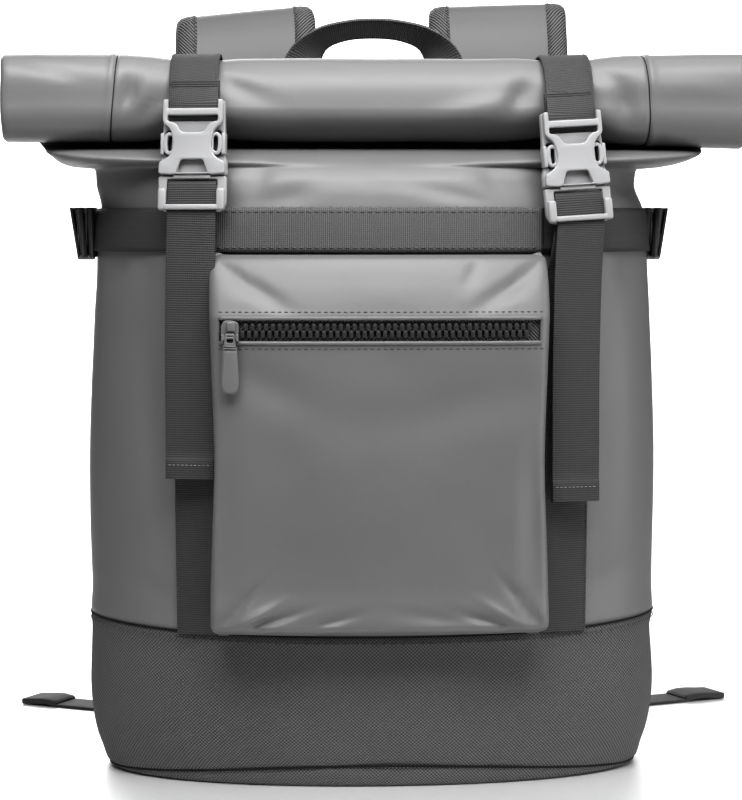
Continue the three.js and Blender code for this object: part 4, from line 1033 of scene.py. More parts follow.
# The pocket's section from foot to foot and up its height, as shares of its own sizes.
POCKET_ACROSS = (
    {"step": 0, "across": -0.925, "forward": 0.0},
    {"step": 1, "across": -0.975, "forward": 0.45},
    {"step": 2, "across": -1.0, "forward": 0.78},
    {"step": 3, "across": -0.96, "forward": 0.96},
    {"step": 4, "across": -0.8, "forward": 1.0},
    {"step": 8, "across": 0.0, "forward": 1.0},
    {"step": 12, "across": 0.8, "forward": 1.0},
    {"step": 13, "across": 0.96, "forward": 0.96},
    {"step": 14, "across": 1.0, "forward": 0.78},
    {"step": 15, "across": 0.975, "forward": 0.45},
    {"step": 16, "across": 0.925, "forward": 0.0},
)
POCKET_UP = (
    {"step": 0, "up": 0.0, "forward": 0.0, "width": 0.93},
    {"step": 1, "up": 0.008, "forward": 0.7, "width": 0.96},
    {"step": 2, "up": 0.035, "forward": 1.14, "width": 0.985},
    {"step": 2.5, "up": 0.065, "forward": 1.11, "width": 0.985},
    {"step": 3, "up": 0.13, "forward": 0.99, "width": 0.983},
    {"step": 4, "up": 0.25, "forward": 0.955, "width": 0.975},
    {"step": 5, "up": 0.45, "forward": 0.96, "width": 0.96},
    {"step": 7, "up": 0.7, "forward": 0.99, "width": 0.975},
    {"step": 8, "up": 0.83, "forward": 1.02, "width": 0.985},
    {"step": 8.4, "up": 0.862, "forward": 0.94, "width": 0.987},
    {"step": 9, "up": 0.92, "forward": 0.72, "width": 0.987},
    {"step": 10, "up": 0.99, "forward": 0.36, "width": 0.975},
    {"step": 11, "up": 1.0, "forward": 0.14, "width": 0.96},
)

POCKET_DENTS = (
    {"x": -60, "z": 226, "wide": 26, "tall": 12, "depth": 2.4, "turn": -30},
    {"x": 40, "z": 214, "wide": 44, "tall": 14, "depth": 1.8, "turn": 12},
    {"x": 10, "z": 170, "wide": 60, "tall": 26, "depth": -2.2, "turn": 0},
    {"x": -80, "z": 103, "wide": 16, "tall": 2.6, "depth": 3.4, "turn": 48},
    {"x": -70, "z": 99, "wide": 15, "tall": 2.4, "depth": -2.2, "turn": 30},
    {"x": -62, "z": 97, "wide": 18, "tall": 2.6, "depth": 3.0, "turn": 18},
    {"x": -28, "z": 97, "wide": 16, "tall": 2.8, "depth": 2.2, "turn": 16},
    {"x": 80, "z": 104, "wide": 16, "tall": 2.6, "depth": 3.4, "turn": -50},
    {"x": 70, "z": 99, "wide": 15, "tall": 2.4, "depth": -2.0, "turn": -32},
    {"x": 60, "z": 97, "wide": 18, "tall": 2.8, "depth": 2.8, "turn": -16},
    {"x": 30, "z": 99, "wide": 22, "tall": 4, "depth": 1.6, "turn": -8},
    {"x": 84, "z": 150, "wide": 5, "tall": 40, "depth": 3.0, "turn": 0},
    {"x": -86, "z": 160, "wide": 5, "tall": 44, "depth": 2.4, "turn": 0},
    {"x": -84, "z": 290, "wide": 12, "tall": 3, "depth": 3.0, "turn": -42},
    {"x": -66, "z": 278, "wide": 20, "tall": 5, "depth": 2.6, "turn": -34},
    {"x": 84, "z": 290, "wide": 12, "tall": 3, "depth": 3.0, "turn": 42},
    {"x": 70, "z": 279, "wide": 22, "tall": 5, "depth": 2.8, "turn": 34},
    {"x": 52, "z": 290, "wide": 9, "tall": 4, "depth": 1.8, "turn": 60},
)


def pocket_point(across_step, up_step):
    across = between(POCKET_ACROSS, "step", "across", across_step)
    forward = between(POCKET_ACROSS, "step", "forward", across_step)
    up = between(POCKET_UP, "step", "up", up_step)
    z = mix(POCKET_BOTTOM, POCKET_TOP, up)
    x = across * between(POCKET_UP, "step", "width", up_step) * POCKET_WIDTH / 2
    lean = forward * between(POCKET_UP, "step", "forward", up_step)
    wall = front_y(x, z) - GAP
    flat = mix(wall, front_y(0, z) - GAP, POCKET_FLATNESS)
    free = clamp(lean) * (1 - hump(z - SLOT_MIDDLE, SLOT_HEIGHT))
    slack = 0.9 * noise.noise(Vector((x / 34, 5.5, z / 30))) * free
    for row in POCKET_DENTS:
        slack += dent(x, z, row) * free
    return Vector((x, mix(wall, flat, lean) - POCKET_DEPTH * lean - slack, z))


def solve_step(wanted, value, low, high):
    for _ in range(24):
        middle = (low + high) / 2
        if value(middle) < wanted:
            low = middle
        else:
            high = middle
    return (low + high) / 2


def pocket_front(x, z):
    share = (z - POCKET_BOTTOM) / (POCKET_TOP - POCKET_BOTTOM)
    up_step = solve_step(share, lambda s: between(POCKET_UP, "step", "up", s), 0, 11)
    width = between(POCKET_UP, "step", "width", up_step) * POCKET_WIDTH / 2
    across_step = solve_step(x / width, lambda s: between(POCKET_ACROSS, "step", "across", s), 3, 13)
    return pocket_point(across_step, up_step)


def pocket_normal(x, z):
    across = pocket_front(x + 1.5, z) - pocket_front(x - 1.5, z)
    up = pocket_front(x, z + 1.5) - pocket_front(x, z - 1.5)
    return across.cross(up).normalized()


def build_pocket():
    across_steps = [k / 4 for k in range(16)]
    across_steps += [4 + 8 * k / 84 for k in range(85)]
    across_steps += [12 + (k + 1) / 4 for k in range(16)]
    up_steps = [k / 5 for k in range(10)]
    up_steps += [2 + k / 22 for k in range(22)]
    up_steps += [3 + 5 * k / 80 for k in range(81)]
    up_steps += [8 + (k + 1) / 14 for k in range(42)]

    def surface(i, j):
        return pocket_point(across_steps[i], up_steps[j])

    bm = cloth_grid(len(across_steps) - 1, len(up_steps) - 1, surface)
    half = SLOT_WIDTH / 2
    slot_low, slot_high = SLOT_BOTTOM, SLOT_BOTTOM + SLOT_HEIGHT
    cuts = (
        ((0, 0, slot_low), (0, 0, 1)),
        ((0, 0, slot_high), (0, 0, 1)),
        ((-half, 0, 0), (1, 0, 0)),
        ((half, 0, 0), (1, 0, 0)),
    )
    for place, normal in cuts:
        everything = bm.verts[:] + bm.edges[:] + bm.faces[:]
        bmesh.ops.bisect_plane(bm, geom=everything, plane_co=place, plane_no=normal, dist=0.001)
    opening = []
    for face in bm.faces:
        middle = face.calc_center_median()
        if abs(middle.x) < half and slot_low < middle.z < slot_high:
            opening.append(face)
    bmesh.ops.delete(bm, geom=opening, context="FACES")
    turn_outward(bm, Vector((0, 0, 190)))
    finish_piece("front pocket", bm, "coated", "front_pocket", wall=CLOTH)

    welts = bmesh.new()
    for z, lift in ((slot_low, WELT_STANDS["low"]), (slot_high, WELT_STANDS["high"])):
        points = []
        for k in range(61):
            x = mix(-half - 1, half + 1, k / 60)
            at = pocket_front(clamp(x, -half, half), z) + Vector((0, WELT_RADIUS * 0.2 - lift, 0))
            points.append(station(at, (0, 0, 1), WELT_RADIUS * 2.1, WELT_RADIUS * 2))
        merge(welts, ribbon_mesh(softened(points, 1), ROUND_SECTION))
    finish_piece("pocket welts", welts, "coated", None)
    for z in (slot_low + SLOT_STITCHES["low"], slot_high + SLOT_STITCHES["high"]):
        points, normals = [], []
        for k in range(49):
            x = mix(-half - 1, half + 1, k / 48)
            points.append(pocket_front(x, z))
            normals.append(pocket_normal(x, z))
        stitch(points, normals, "thread", pitch=3.6, length=2.5, width=0.7)


def tooth(bm, x, side, at_y):
    place = (x, at_y, SLOT_MIDDLE + side * TOOTH_OFF_MIDDLE)
    merge(bm, rounded_box(*TOOTH_SIZE, place, bevel=0.7, segments=2))


def build_zipper():
    half = SLOT_WIDTH / 2

    def tape(i, j):
        x = mix(-half - TAPE_PAST_END, half + TAPE_PAST_END, i / 80)
        up = mix(-1, 1, j / 8) * (SLOT_HEIGHT / 2 + TAPE_PAST_SLOT)
        held = clamp(x, -TAPE_HELD, TAPE_HELD)
        return pocket_front(held, SLOT_MIDDLE) + Vector((x - held, TAPE_BACK, up))

    bm = cloth_grid(80, 8, tape)
    turn_outward(bm, Vector((0, 200, SLOT_MIDDLE)))
    finish_piece("zipper tape", bm, "twill", "zipper_tape", wall=TAPE_THICKNESS)

    chain = bmesh.new()
    first = SLIDER_X + SLIDER_WIDTH / 2 + FIRST_TOOTH_GAP
    count = int((half - LAST_TOOTH_GAP - first) / TOOTH_PITCH)
    for k in range(count * 2):
        x = first + k * TOOTH_PITCH / 2
        at_y = pocket_front(x, SLOT_MIDDLE).y + TAPE_BACK - TOOTH_FORWARD
        tooth(chain, x, 1 if k % 2 else -1, at_y)
    finish_piece("zipper teeth", chain, "dark plastic", "zipper_teeth", sharp=40)
    for up in (-TAPE_STITCHES, TAPE_STITCHES):
        off = Vector((0, TAPE_BACK, up))
        points = [pocket_front(mix(-80, 83, k / 40), SLOT_MIDDLE) + off for k in range(41)]
        forward = [Vector((0, -1, 0))] * len(points)
        stitch(points, forward, "light thread", pitch=1.7, length=1.2, width=0.5)
    build_slider()
    build_pull()


def build_slider():
    at = pocket_front(SLIDER_X, SLOT_MIDDLE)
    back = at.y + TAPE_BACK - GAP
    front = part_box("zipper_slider")[0].y * 1000 - SHIFT.y
    slider = moulded_mesh([rounded((
        (-4.8, -5.0, 1.6), (4.8, -4.4, 1.2), (4.8, 4.6, 1.8),
        (1.5, 5.7, 2.2), (-3.2, 5.7, 2.2), (-4.8, 3.0, 1.2),
    ))], 2.4, back - 2.0, 0.5)
    crown = rounded_box(4.6, 2.4, 5.4, (0.6, back - 4.1, 2.2), 0.8)
    lugs = bmesh.new()
    lug_back = back - 3.0
    for side in (-1, 1):
        place = (side * 4.0, (lug_back + front) / 2, -3.7)
        merge(lugs, rounded_box(1.5, lug_back - front, 3.8, place, 0.6))
    merge(slider, crown)
    merge(slider, lugs)
    merge(slider, bar(0.85, 8, Vector((0, front + 1.6, -3.7))))
    bmesh.ops.translate(slider, verts=slider.verts, vec=(SLIDER_X, 0, SLOT_MIDDLE))
    finish_piece("zipper slider", slider, "pull grey", "zipper_slider", sharp=35)


def build_pull():
    pull_low, pull_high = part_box("zipper_pull")
    top = pull_high.z * 1000
    bottom = pull_low.z * 1000
    middle_y = (pull_low.y + pull_high.y) * 500 - SHIFT.y
    length = top - bottom
    outline = rounded((
        (-2.9, 0.0, 1.6), (2.9, 0.0, 1.6), (3.2, -6.0, 0.8), (3.9, -8.2, 0.6),
        (4.9, -length + 5.4, 2.5), (3.4, -length, 3.6), (-3.4, -length, 3.6),
        (-4.9, -length + 5.4, 2.5), (-3.9, -8.2, 0.6), (-3.2, -6.0, 0.8),
    ), 7)
    eye = rounded(((-1.7, -1.3, 0.8), (1.7, -1.3, 0.8), (1.7, -5.2, 0.8), (-1.7, -5.2, 0.8)))
    tab = moulded_mesh([outline, eye], 1.8, 0, 0.45)
    rim_outer = rounded((
        (-3.2, -9.6, 0.5), (3.2, -9.6, 0.5), (4.3, -length + 5.6, 2.2), (3.0, -length + 0.8, 3.2),
        (-3.0, -length + 0.8, 3.2), (-4.3, -length + 5.6, 2.2),
    ), 7)
    face = moulded_mesh([rim_outer], 1.0, -1.0, 0.35)
    merge(tab, face)
    for drop in (6.9, 8.1):
        merge(tab, rounded_box(7.0, 0.8, 0.7, (0, -1.1, -drop), 0.25))
    bmesh.ops.translate(tab, verts=tab.verts, vec=(SLIDER_X, middle_y, top))
    finish_piece("zipper pull", tab, "pull grey", "zipper_pull", body="pull", sharp=35)


def build_band():
    columns, rows = 150, 8

    def across_front(i, j):
        z = BAND_BOTTOM + BAND_HEIGHT * j / rows
        return on_section(bag_section(z), mix(0.5, 1.0, i / columns), GAP + WEB)

    bm = cloth_grid(columns, rows, across_front)
    turn_outward(bm, Vector((0, 40, 311)))
    finish_piece("front band", bm, "side band", "front_band", wall=WEB)

    def centre(i, j):
        x = mix(-BAND_CENTRE_HALF, BAND_CENTRE_HALF, i / 90)
        z = BAND_BOTTOM - BAND_CENTRE_OVERLAP + (BAND_HEIGHT + 2 * BAND_CENTRE_OVERLAP) * j / 10
        edge = BAND_EDGE_WAVE * math.sin(i * 2.4) * (j in (0, 10))
        return Vector((x, front_y(x, z) - GAP - WEB - BAND_CENTRE_STAND, z + edge))

    bm = cloth_grid(90, 10, centre)
    chart = bm.loops.layers.uv["cloth"]
    for face in bm.faces:
        for loop in face.loops:
            u, v = loop[chart].uv
            loop[chart].uv = (v, u)
    turn_outward(bm, Vector((0, 200, 311)))
    finish_piece("band centre", bm, "band", None, wall=1.0)
    for z in (BAND_BOTTOM + BAND_STITCHES["low"], BAND_BOTTOM + BAND_HEIGHT - BAND_STITCHES["high"]):
        points, normals = [], []
        for k in range(61):
            x = mix(-BAND_CENTRE_HALF + 2, BAND_CENTRE_HALF - 2, k / 60)
            points.append(Vector((x, front_y(x, z) - GAP - WEB - BAND_CENTRE_STAND - 0.05, z)))
            normals.append(Vector((front_y(x + 1, z) - front_y(x - 1, z), -2, 0)).normalized())
        stitch(points, normals, pitch=4.2, length=3.1, width=0.8)


# At each side the band's webbing is folded back and forth through a slider. "out" is in
# millimetres from the bag, "along" is a share of half the fold's depth, "turn" its slant.
SIDE_FOLDS = (
    {"out": 0.4, "along": 0.9, "turn": 0.02},
    {"out": 0.8, "along": -0.7, "turn": 0.02},
    {"out": 1.6, "along": -0.92, "turn": 0.03},
    {"out": 2.8, "along": -0.92, "turn": 0.04},
    {"out": 3.6, "along": -0.7, "turn": 0.05},
    {"out": 4.0, "along": 0.6, "turn": 0.06},
    {"out": 4.6, "along": 0.8, "turn": 0.06},
    {"out": 5.4, "along": 0.8, "turn": 0.06},
    {"out": 5.9, "along": 0.6, "turn": 0.07},
    {"out": 6.0, "along": -0.75, "turn": 0.08},
    {"out": 6.6, "along": -1.0, "turn": 0.09},
    {"out": 7.6, "along": -1.04, "turn": 0.1},
    {"out": 8.6, "along": -1.0, "turn": 0.11},
    {"out": 9.2, "along": -0.7, "turn": 0.12},
    {"out": 9.4, "along": 0.5, "turn": 0.12},
    {"out": 9.9, "along": 0.7, "turn": 0.13},
    {"out": 10.7, "along": 0.6, "turn": 0.13},
    {"out": 11.2, "along": -0.5, "turn": 0.15},
    {"out": 11.6, "along": -0.85, "turn": 0.16},
)
SIDE_FOLD_CLOTH = 1.3
SIDE_INSET = {"left": 3.0, "right": 6.5}
SIDE_SLIDER_WIDTH = 10.4
SIDE_SLIDER_DROP = 0.9
SIDE_SLIDER_RAIL = 2.6
SIDE_SLIDER_POST = 1.1
SIDE_SLIDER_BAR = 0.6
SIDE_SLIDER_PAST = 0.6
SIDE_SLIDER_THICKNESS = 2.2
SIDE_RAISE = 2.5
SIDE_NARROWER = 2


def build_side_adjusters():
    for side, name in ((-1, "left"), (1, "right")):
        low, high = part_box(f"side_strap_{name}")
        wall_x = (high.x if side < 0 else low.x) * 1000 - side * SIDE_INSET[name]
        y = (low.y + high.y) * 500 - SHIFT.y
        z = (low.z + high.z) * 500 + SIDE_RAISE
        width = (high.z - low.z) * 1000 - SIDE_NARROWER
        half = SIDE_LOOP_DEPTH / 2
        stations = [
            station(
                (wall_x + side * row["out"], y + half * row["along"], z),
                (side * row["turn"], 0.04 * row["along"], 1), width, SIDE_FOLD_CLOTH,
            )
            for row in SIDE_FOLDS
        ]
        ribbon_piece(f"side strap {name}", stations, "web", f"side_strap_{name}")
        wide, tall = SIDE_SLIDER_WIDTH / 2, width / 2 + SIDE_SLIDER_PAST
        low_end, high_end = SIDE_SLIDER_RAIL - tall, tall - SIDE_SLIDER_RAIL
        plates = [rounded_window(-wide, wide, -tall, tall, 1.6)]
        plates.append(rounded_window(SIDE_SLIDER_POST - wide, -SIDE_SLIDER_BAR, low_end, high_end, 0.5))
        plates.append(rounded_window(SIDE_SLIDER_BAR, wide - SIDE_SLIDER_POST, low_end, high_end, 0.5))
        slider = moulded_mesh(plates, SIDE_SLIDER_THICKNESS, 0, 0.5)
        place = (wall_x + side * wide, y - half * 0.6, z - SIDE_SLIDER_DROP)
        bmesh.ops.translate(slider, verts=slider.verts, vec=place)
        node = f"side_slider_{name}"
        finish_piece(f"side slider {name}", slider, "slider grey", node, sharp=35)


# The buckles, in a frame of their own: X across, Z up from the top edge, -Y to the front.
def buckle_matrix(side):
    turn = -RIGHT_TURN if side > 0 else 0
    spin = (
        Matrix.Rotation(side * BUCKLE_YAW, 4, "Z")
        @ Matrix.Rotation(turn, 4, "Y")
        @ Matrix.Rotation(-BUCKLE_PITCH, 4, "X")
    )
    drop = RIGHT_DROP if side > 0 else 0
    return Matrix.Translation((side * STRAP_SPREAD + STRAP_SHIFT, BUCKLE_TOP_Y, BUCKLE_TOP - drop)) @ spin


def mirrored(half):
    return list(half) + [(-x, y, r) for x, y, r in reversed(half)]


def build_socket(name, matrix):
    back_half = (
        (14.2, -0.1, 0.6), (16.9, -0.1, 1.2), (17.2, -12, 2), (17.7, -22, 4),
        (17.4, -31, 2), (18.7, -33.8, 1.2), (18.8, -40.6, 1), (17.8, -41.8, 1),
    )
    back_outline = rounded(mirrored(back_half) + [(-14.2, -11.6, 0.5), (14.2, -11.6, 0.5)])
    side_hole = ((9.8, -17.5, 2), (15.6, -16.5, 2), (16.2, -24, 3), (15.6, -31.5, 2), (9.8, -30.5, 2))
    side_holes = [rounded([(side * x, z, r) for x, z, r in side_hole]) for side in (-1, 1)]
    lower_hole = rounded(((-6.2, -33.2, 1.6), (6.2, -33.2, 1.6), (8.8, -40.4, 0.6), (-8.8, -40.4, 0.6)))
    back = moulded_mesh([back_outline] + side_holes, 4.6, 2.1, 0.6)
    front_half = (
        (14.0, -4.9, 0.5), (14.0, 0.0, 0.4), (16.8, 0.0, 1.1), (16.9, -11.6, 0.6),
        (16.2, -13.4, 1.6), (12.4, -16.4, 3.2), (10.2, -24.2, 6.0), (12.2, -31.2, 3.0),
        (18.6, -34.8, 1.4), (18.8, -41.0, 1.2), (11.4, -41.7, 0.4), (9.4, -41.2, 0.4),
    )
    window = rounded((
        (-14.2, -8.7, 0.9), (14.2, -8.7, 0.9), (14.2, -11.9, 1.0), (9.4, -13.0, 2.4),
        (6.2, -18.2, 2.6), (-6.2, -18.2, 2.6), (-9.4, -13.0, 2.4), (-14.2, -11.9, 1.0),
    ))
    front = moulded_mesh([rounded(mirrored(front_half)), window, lower_hole], 3.4, -2.8, 0.75)
    merge(back, front)
    ring_outside = (
        (10.4, -19.6, 3), (13.0, -17.4, 3), (16.1, -19.6, 3), (16.9, -24.4, 3),
        (15.9, -29.6, 3), (12.8, -31.2, 3), (10.6, -28.6, 3),
    )
    ring_inside = (
        (11.6, -20.4, 1.6), (13.9, -19.8, 1.6), (14.4, -24.4, 2), (13.8, -28.8, 1.6), (11.8, -28.2, 1.6),
    )
    for side in (-1, 1):
        rings = [rounded([(side * x, z, r) for x, z, r in row], 6) for row in (ring_outside, ring_inside)]
        merge(back, moulded_mesh(rings, 3.0, -1.6, 0.6))
        merge(back, rounded_box(2.2, 6.4, 12.0, (side * 17.2, 0.2, -24.4), 0.8))
    # A near-black box behind the socket's windows: painted shade standing in for the dark hollow inside the
    # buckle.
    inside = rounded_box(30, 1.4, 23, (0, 2.6, -29.4), 0.3)
    bmesh.ops.transform(inside, matrix=matrix, verts=inside.verts)
    finish_piece(f"buckle inside {name}", inside, "buckle shadow", None)
    merge(back, bar(1.0, 29.4, Vector((0, 0, BAR_Z))))
    bmesh.ops.transform(back, matrix=matrix, verts=back.verts)
    node = f"buckle_socket_{name}"
    finish_piece(f"buckle socket {name}", back, "plastic", node, sharp=32)


def build_plug(name, matrix):
    outer = rounded((
        (-19.1, -42.3, 1.4), (19.1, -42.3, 1.4), (19.1, -58.2, 3.2),
        (16.4, -61.9, 3.0), (-16.4, -61.9, 3.0), (-19.1, -58.2, 3.2),
    ), 6)
    slot = rounded(((-14.1, -44.0, 1.0), (14.1, -44.0, 1.0), (14.1, -61.0, 0.8), (-14.1, -61.0, 0.8)))
    plug = moulded_mesh([outer, slot], PLUG_THICKNESS, 0, 0.8)
    merge(plug, rounded_box(28.6, BAR_THICKNESS, GRIP_BAR_HEIGHT, (0, 0, GRIP_Z), 0.4))
    for side in (-1, 1):
        merge(plug, rounded_box(4.6, 5.2, 12, (side * 16.4, -2.6, -55.2), 1.2))
        merge(plug, rounded_box(3.4, 2.4, 20, (side * 9.6, 0, -32.6), 0.8))
    merge(plug, rounded_box(30.4, 2.4, 3.0, (0, -4.3, END_BAR_Z), 0.9))
    merge(plug, rounded_box(20.8, 3.4, 2.2, (0, -1.4, -42.6), 0.6))
    bmesh.ops.transform(plug, matrix=matrix, verts=plug.verts)
    node = f"buckle_plug_{name}"
    finish_piece(f"buckle plug {name}", plug, "plastic", node, sharp=32)


def around_bar(z, start, end, steps=6):
    made = []
    for i in range(steps + 1):
        angle = mix(start, end, i / steps)
        made.append(Vector((0, -LOOP_RADIUS * math.sin(angle), z + LOOP_RADIUS * math.cos(angle))))
    return made


def yoke_outside(x, z):
    return back_y(x, min(z, SHOULDER_HEIGHT)) + GAP + YOKE_THICKNESS


CROSS_STITCH_HEIGHT = {"left": 391, "right": 388}


def build_roll_strap(name, side, matrix):
    turned = (matrix.to_3x3() @ Vector((1, 0, 0))).normalized()
    own = [Vector((0, WEB / 2 + GAP, 11)), Vector((0, LOOP_RADIUS, -1))]
    own += around_bar(BAR_Z, -math.pi / 2, -1.5 * math.pi)
    own.append(Vector((0, -LOOP_RADIUS, -1)))
    stations = [station(matrix @ point, turned) for point in own]
    top = stations[-1]["at"]
    radius = ROLL_RADIUS + 1.5 * GAP + WEB / 2 - ROLL_SQUEEZE * 0.75
    reach = math.hypot(top.y + ROLL_SET_FORWARD, top.z - ROLL_HEIGHT)
    bearing = math.atan2(top.z - ROLL_HEIGHT, top.y + ROLL_SET_FORWARD)
    if bearing < 0:
        bearing += 2 * math.pi
    first = bearing - math.acos(radius / reach)
    back_x = side * STRAP_SPREAD * 0.985 + STRAP_SHIFT
    for i in range(9):
        share = i / 8
        angle = mix(first, 0.12, share)
        x = mix(top.x, back_x, min(share * 1.6, 1))
        at = (x, -ROLL_SET_FORWARD + radius * math.cos(angle), ROLL_HEIGHT + 0.5 + radius * math.sin(angle))
        stations.append(station(at, turned.lerp(Vector((1, 0, 0)), share)))
    fin_back = FIN_MIDDLE_Y + TUBE_THICKNESS / 2 + GAP + WEB / 2
    flat = Vector((1, 0, 0))
    shoulder_y = yoke_outside(back_x, SHOULDER_HEIGHT) + GAP + WEB / 2 + 1
    stations.append(station((back_x, fin_back + 1, ROLL_HEIGHT - 8), flat))
    stations.append(station((back_x, fin_back + 4, ROLL_HEIGHT - 18), flat))
    stations.append(station((back_x, mix(fin_back, shoulder_y, 0.72), ROLL_HEIGHT - 25), flat))
    stations.append(station((back_x, shoulder_y - 1, SHOULDER_HEIGHT + 10), flat))
    on_yoke = [(z, YOKE_STAND) for z in (YOKE_TOP - 6, YOKE_TOP - 14, YOKE_BOTTOM + 4)]
    for z, stand in [(SHOULDER_HEIGHT, 1)] + on_yoke:
        at = (back_x, yoke_outside(back_x, z) + GAP + WEB / 2 + stand, z)
        stations.append(station(at, along_surface(back_y, back_x, z)))
    rows = ribbon_piece(f"roll strap {name}", stations, "web", f"roll_strap_{name}")
    facing = next(row for row in rows[31:] if row["at"].z > BUCKLE_TOP + 2 and row["at"].y < -60)
    sign = 1 if facing["up"].y < 0 else -1
    color = "light thread" if side < 0 else "thread"
    cross_height = CROSS_STITCH_HEIGHT[name]
    crossing = min(range(30, len(rows) // 2), key=lambda i: abs(rows[i]["at"].z - cross_height))
    cross_stitches(rows[crossing], sign, color, half=0.78, pitch=2.6, length=2.0, width=0.6)
    for edge in (-0.9, 0.9):
        ribbon_stitches(
            rows, edge, sign, "thread", crossing, crossing + 24, pitch=2.6, length=1.8, width=0.55
        )


# The way of a front strap up the bag: its height, how much it spreads, how far it stands off
FRONT_STRAP_WAY = (
    {"z": BASE_HEIGHT + GAP + 0.5, "apart": 0, "stand": 0},
    {"z": BASE_HEIGHT + 45, "apart": 0.5, "stand": 0.2},
    {"z": BASE_HEIGHT + 122, "apart": 1.5, "stand": 0.6},
    {"z": BASE_HEIGHT + 165, "apart": 2.5, "stand": 0.6},
    {"z": BAND_BOTTOM - 10, "apart": 3.3, "stand": 0.8},
)
TAIL_FOLD_STITCHES = 9


def build_front_strap(name, side, matrix):
    turned = (matrix.to_3x3() @ Vector((1, 0, 0))).normalized()
    stations = []
    drop = RIGHT_DROP if side > 0 else 0

    def on_bag(z, x, stand):
        place = side * x + STRAP_SHIFT
        at = (place, front_y(place, z) - GAP - WEB / 2 - stand, z)
        stations.append(station(at, along_surface(front_y, place, z)))

    for row in FRONT_STRAP_WAY:
        on_bag(row["z"], STRAP_FOOT_SPREAD + row["apart"], row["stand"])
    on_bag(BAND_BOTTOM - 1 - drop, STRAP_FOOT_SPREAD + 3.6, WEB + 2 * GAP + 0.5)
    own = [Vector((0, LOOP_RADIUS, PLUG_BOTTOM)), Vector((0, LOOP_RADIUS, GRIP_Z - 2))]
    own += around_bar(GRIP_Z + GRIP_BAR_HEIGHT / 2 - BAR_THICKNESS / 2 + GAP, -math.pi / 2, math.pi / 2)
    own += [Vector((0, -LOOP_RADIUS, GRIP_Z - 2)), Vector((0, -LOOP_RADIUS, PLUG_BOTTOM - 1))]
    for point in own:
        stations.append(station(matrix @ point, turned))
    leave = stations[-1]["at"]
    bottom = TAIL_BOTTOM - (RIGHT_TAIL_EXTRA if side > 0 else 0)

    def hang(share, thickness=WEB):
        at = (
            mix(leave.x, side * TAIL_SPREAD + STRAP_SHIFT, min(share * 3, 1)),
            leave.y - 0.5 * min(share * 2, 1),
            mix(leave.z, bottom, share),
        )
        stations.append(station(at, turned, STRAP_WIDTH, thickness))

    for share in (0.1, 0.2, 0.5, 0.8, 0.92):
        hang(share)
    hang(0.93, 2 * WEB + GAP)
    hang(1, 2 * WEB + GAP)
    rows = ribbon_piece(f"front strap {name}", stations, "web", f"front_strap_{name}")
    up_front = [i for i, row in enumerate(rows) if row["at"].z < BAND_BOTTOM - 4 and i < 26]
    sign = 1 if rows[up_front[0]]["up"].y < 0 else -1
    for edge in (-0.93, 0.93):
        ribbon_stitches(rows, edge, sign, "thread", 0, up_front[-1], pitch=3.0, length=2.2, width=0.7)
    tail_sign = 1 if rows[-3]["up"].y < 0 else -1
    fold_z = bottom + TAIL_FOLD_STITCHES
    end_row = min(range(len(rows) - 14, len(rows)), key=lambda i: abs(rows[i]["at"].z - fold_z))
    cross_stitches(rows[end_row], tail_sign, "light thread", half=0.9, pitch=2.4, length=1.9, width=0.55)


def build_yoke():
    def surface(i, j):
        x = mix(-YOKE_WIDTH / 2, YOKE_WIDTH / 2, i / 60)
        z = mix(YOKE_BOTTOM, YOKE_TOP, j / 10)
        return Vector((x, back_y(x, z) + GAP + YOKE_THICKNESS, z))

    bm = cloth_grid(60, 10, surface)
    turn_outward(bm, Vector((0, -100, 311)))
    finish_piece("back yoke", bm, "base", "back_yoke", wall=YOKE_THICKNESS)
    for z in (YOKE_BOTTOM + YOKE_STITCH_INSET, YOKE_TOP - YOKE_STITCH_INSET):
        points = [Vector((x, back_y(x, z) + GAP + YOKE_THICKNESS, z)) for x in range(-122, 123, 4)]
        stitch(points, [Vector((0, 1, 0))] * len(points), "thread")


HANDLE_RISE = (
    {"across": 1.0, "z": YOKE_BOTTOM + 4, "y": YOKE_STAND, "turn": 0},
    {"across": 1.0, "z": YOKE_TOP - 12, "y": YOKE_STAND, "turn": 0},
    {"across": 1.0, "z": YOKE_TOP, "y": YOKE_STAND, "turn": 0},
    {"across": 1.0, "z": SHOULDER_HEIGHT + 30, "y": -1, "turn": 0.02},
    {"across": 1.06, "z": HANDLE_TOP - 40, "y": -2, "turn": 0.1},
    {"across": 1.02, "z": HANDLE_TOP - 20, "y": -2, "turn": 0.34},
    {"across": 0.78, "z": HANDLE_TOP - 7, "y": -2, "turn": 0.7},
    {"across": 0.42, "z": HANDLE_TOP - 1.5, "y": -2, "turn": 0.93},
    {"across": 0.0, "z": HANDLE_TOP, "y": -2, "turn": 1},
)


def build_handle():
    flat = Vector((0, -0.92, 0.4))

    def half(side):
        made = []
        for row in HANDLE_RISE:
            foot = yoke_outside(HANDLE_FOOT_SPREAD - HANDLE_WIDTH / 2, row["z"]) + GAP + WEB / 2
            across = Vector((1, 0, 0)).lerp(flat * side, row["turn"]).normalized()
            shift = HANDLE_SHIFT * ease((row["z"] - SHOULDER_HEIGHT) / 60)
            at = (side * row["across"] * HANDLE_FOOT_SPREAD + shift, foot + row["y"], row["z"])
            made.append(station(at, across, HANDLE_WIDTH))
        return made

    left = half(-1)
    right = list(reversed(half(1)))[1:]
    before = left[-1]
    for row in right:
        if row["across"].dot(before["across"]) < 0:
            row["across"] = -row["across"]
        before = row
    rows = ribbon_piece("haul handle", left + right, "handle", "haul_handle")
    for edge in (-0.86, 0.86):
        for side in (-1, 1):
            ribbon_stitches(rows, edge, side, "thread", 0, None, pitch=3.2, length=2.2, width=0.6)


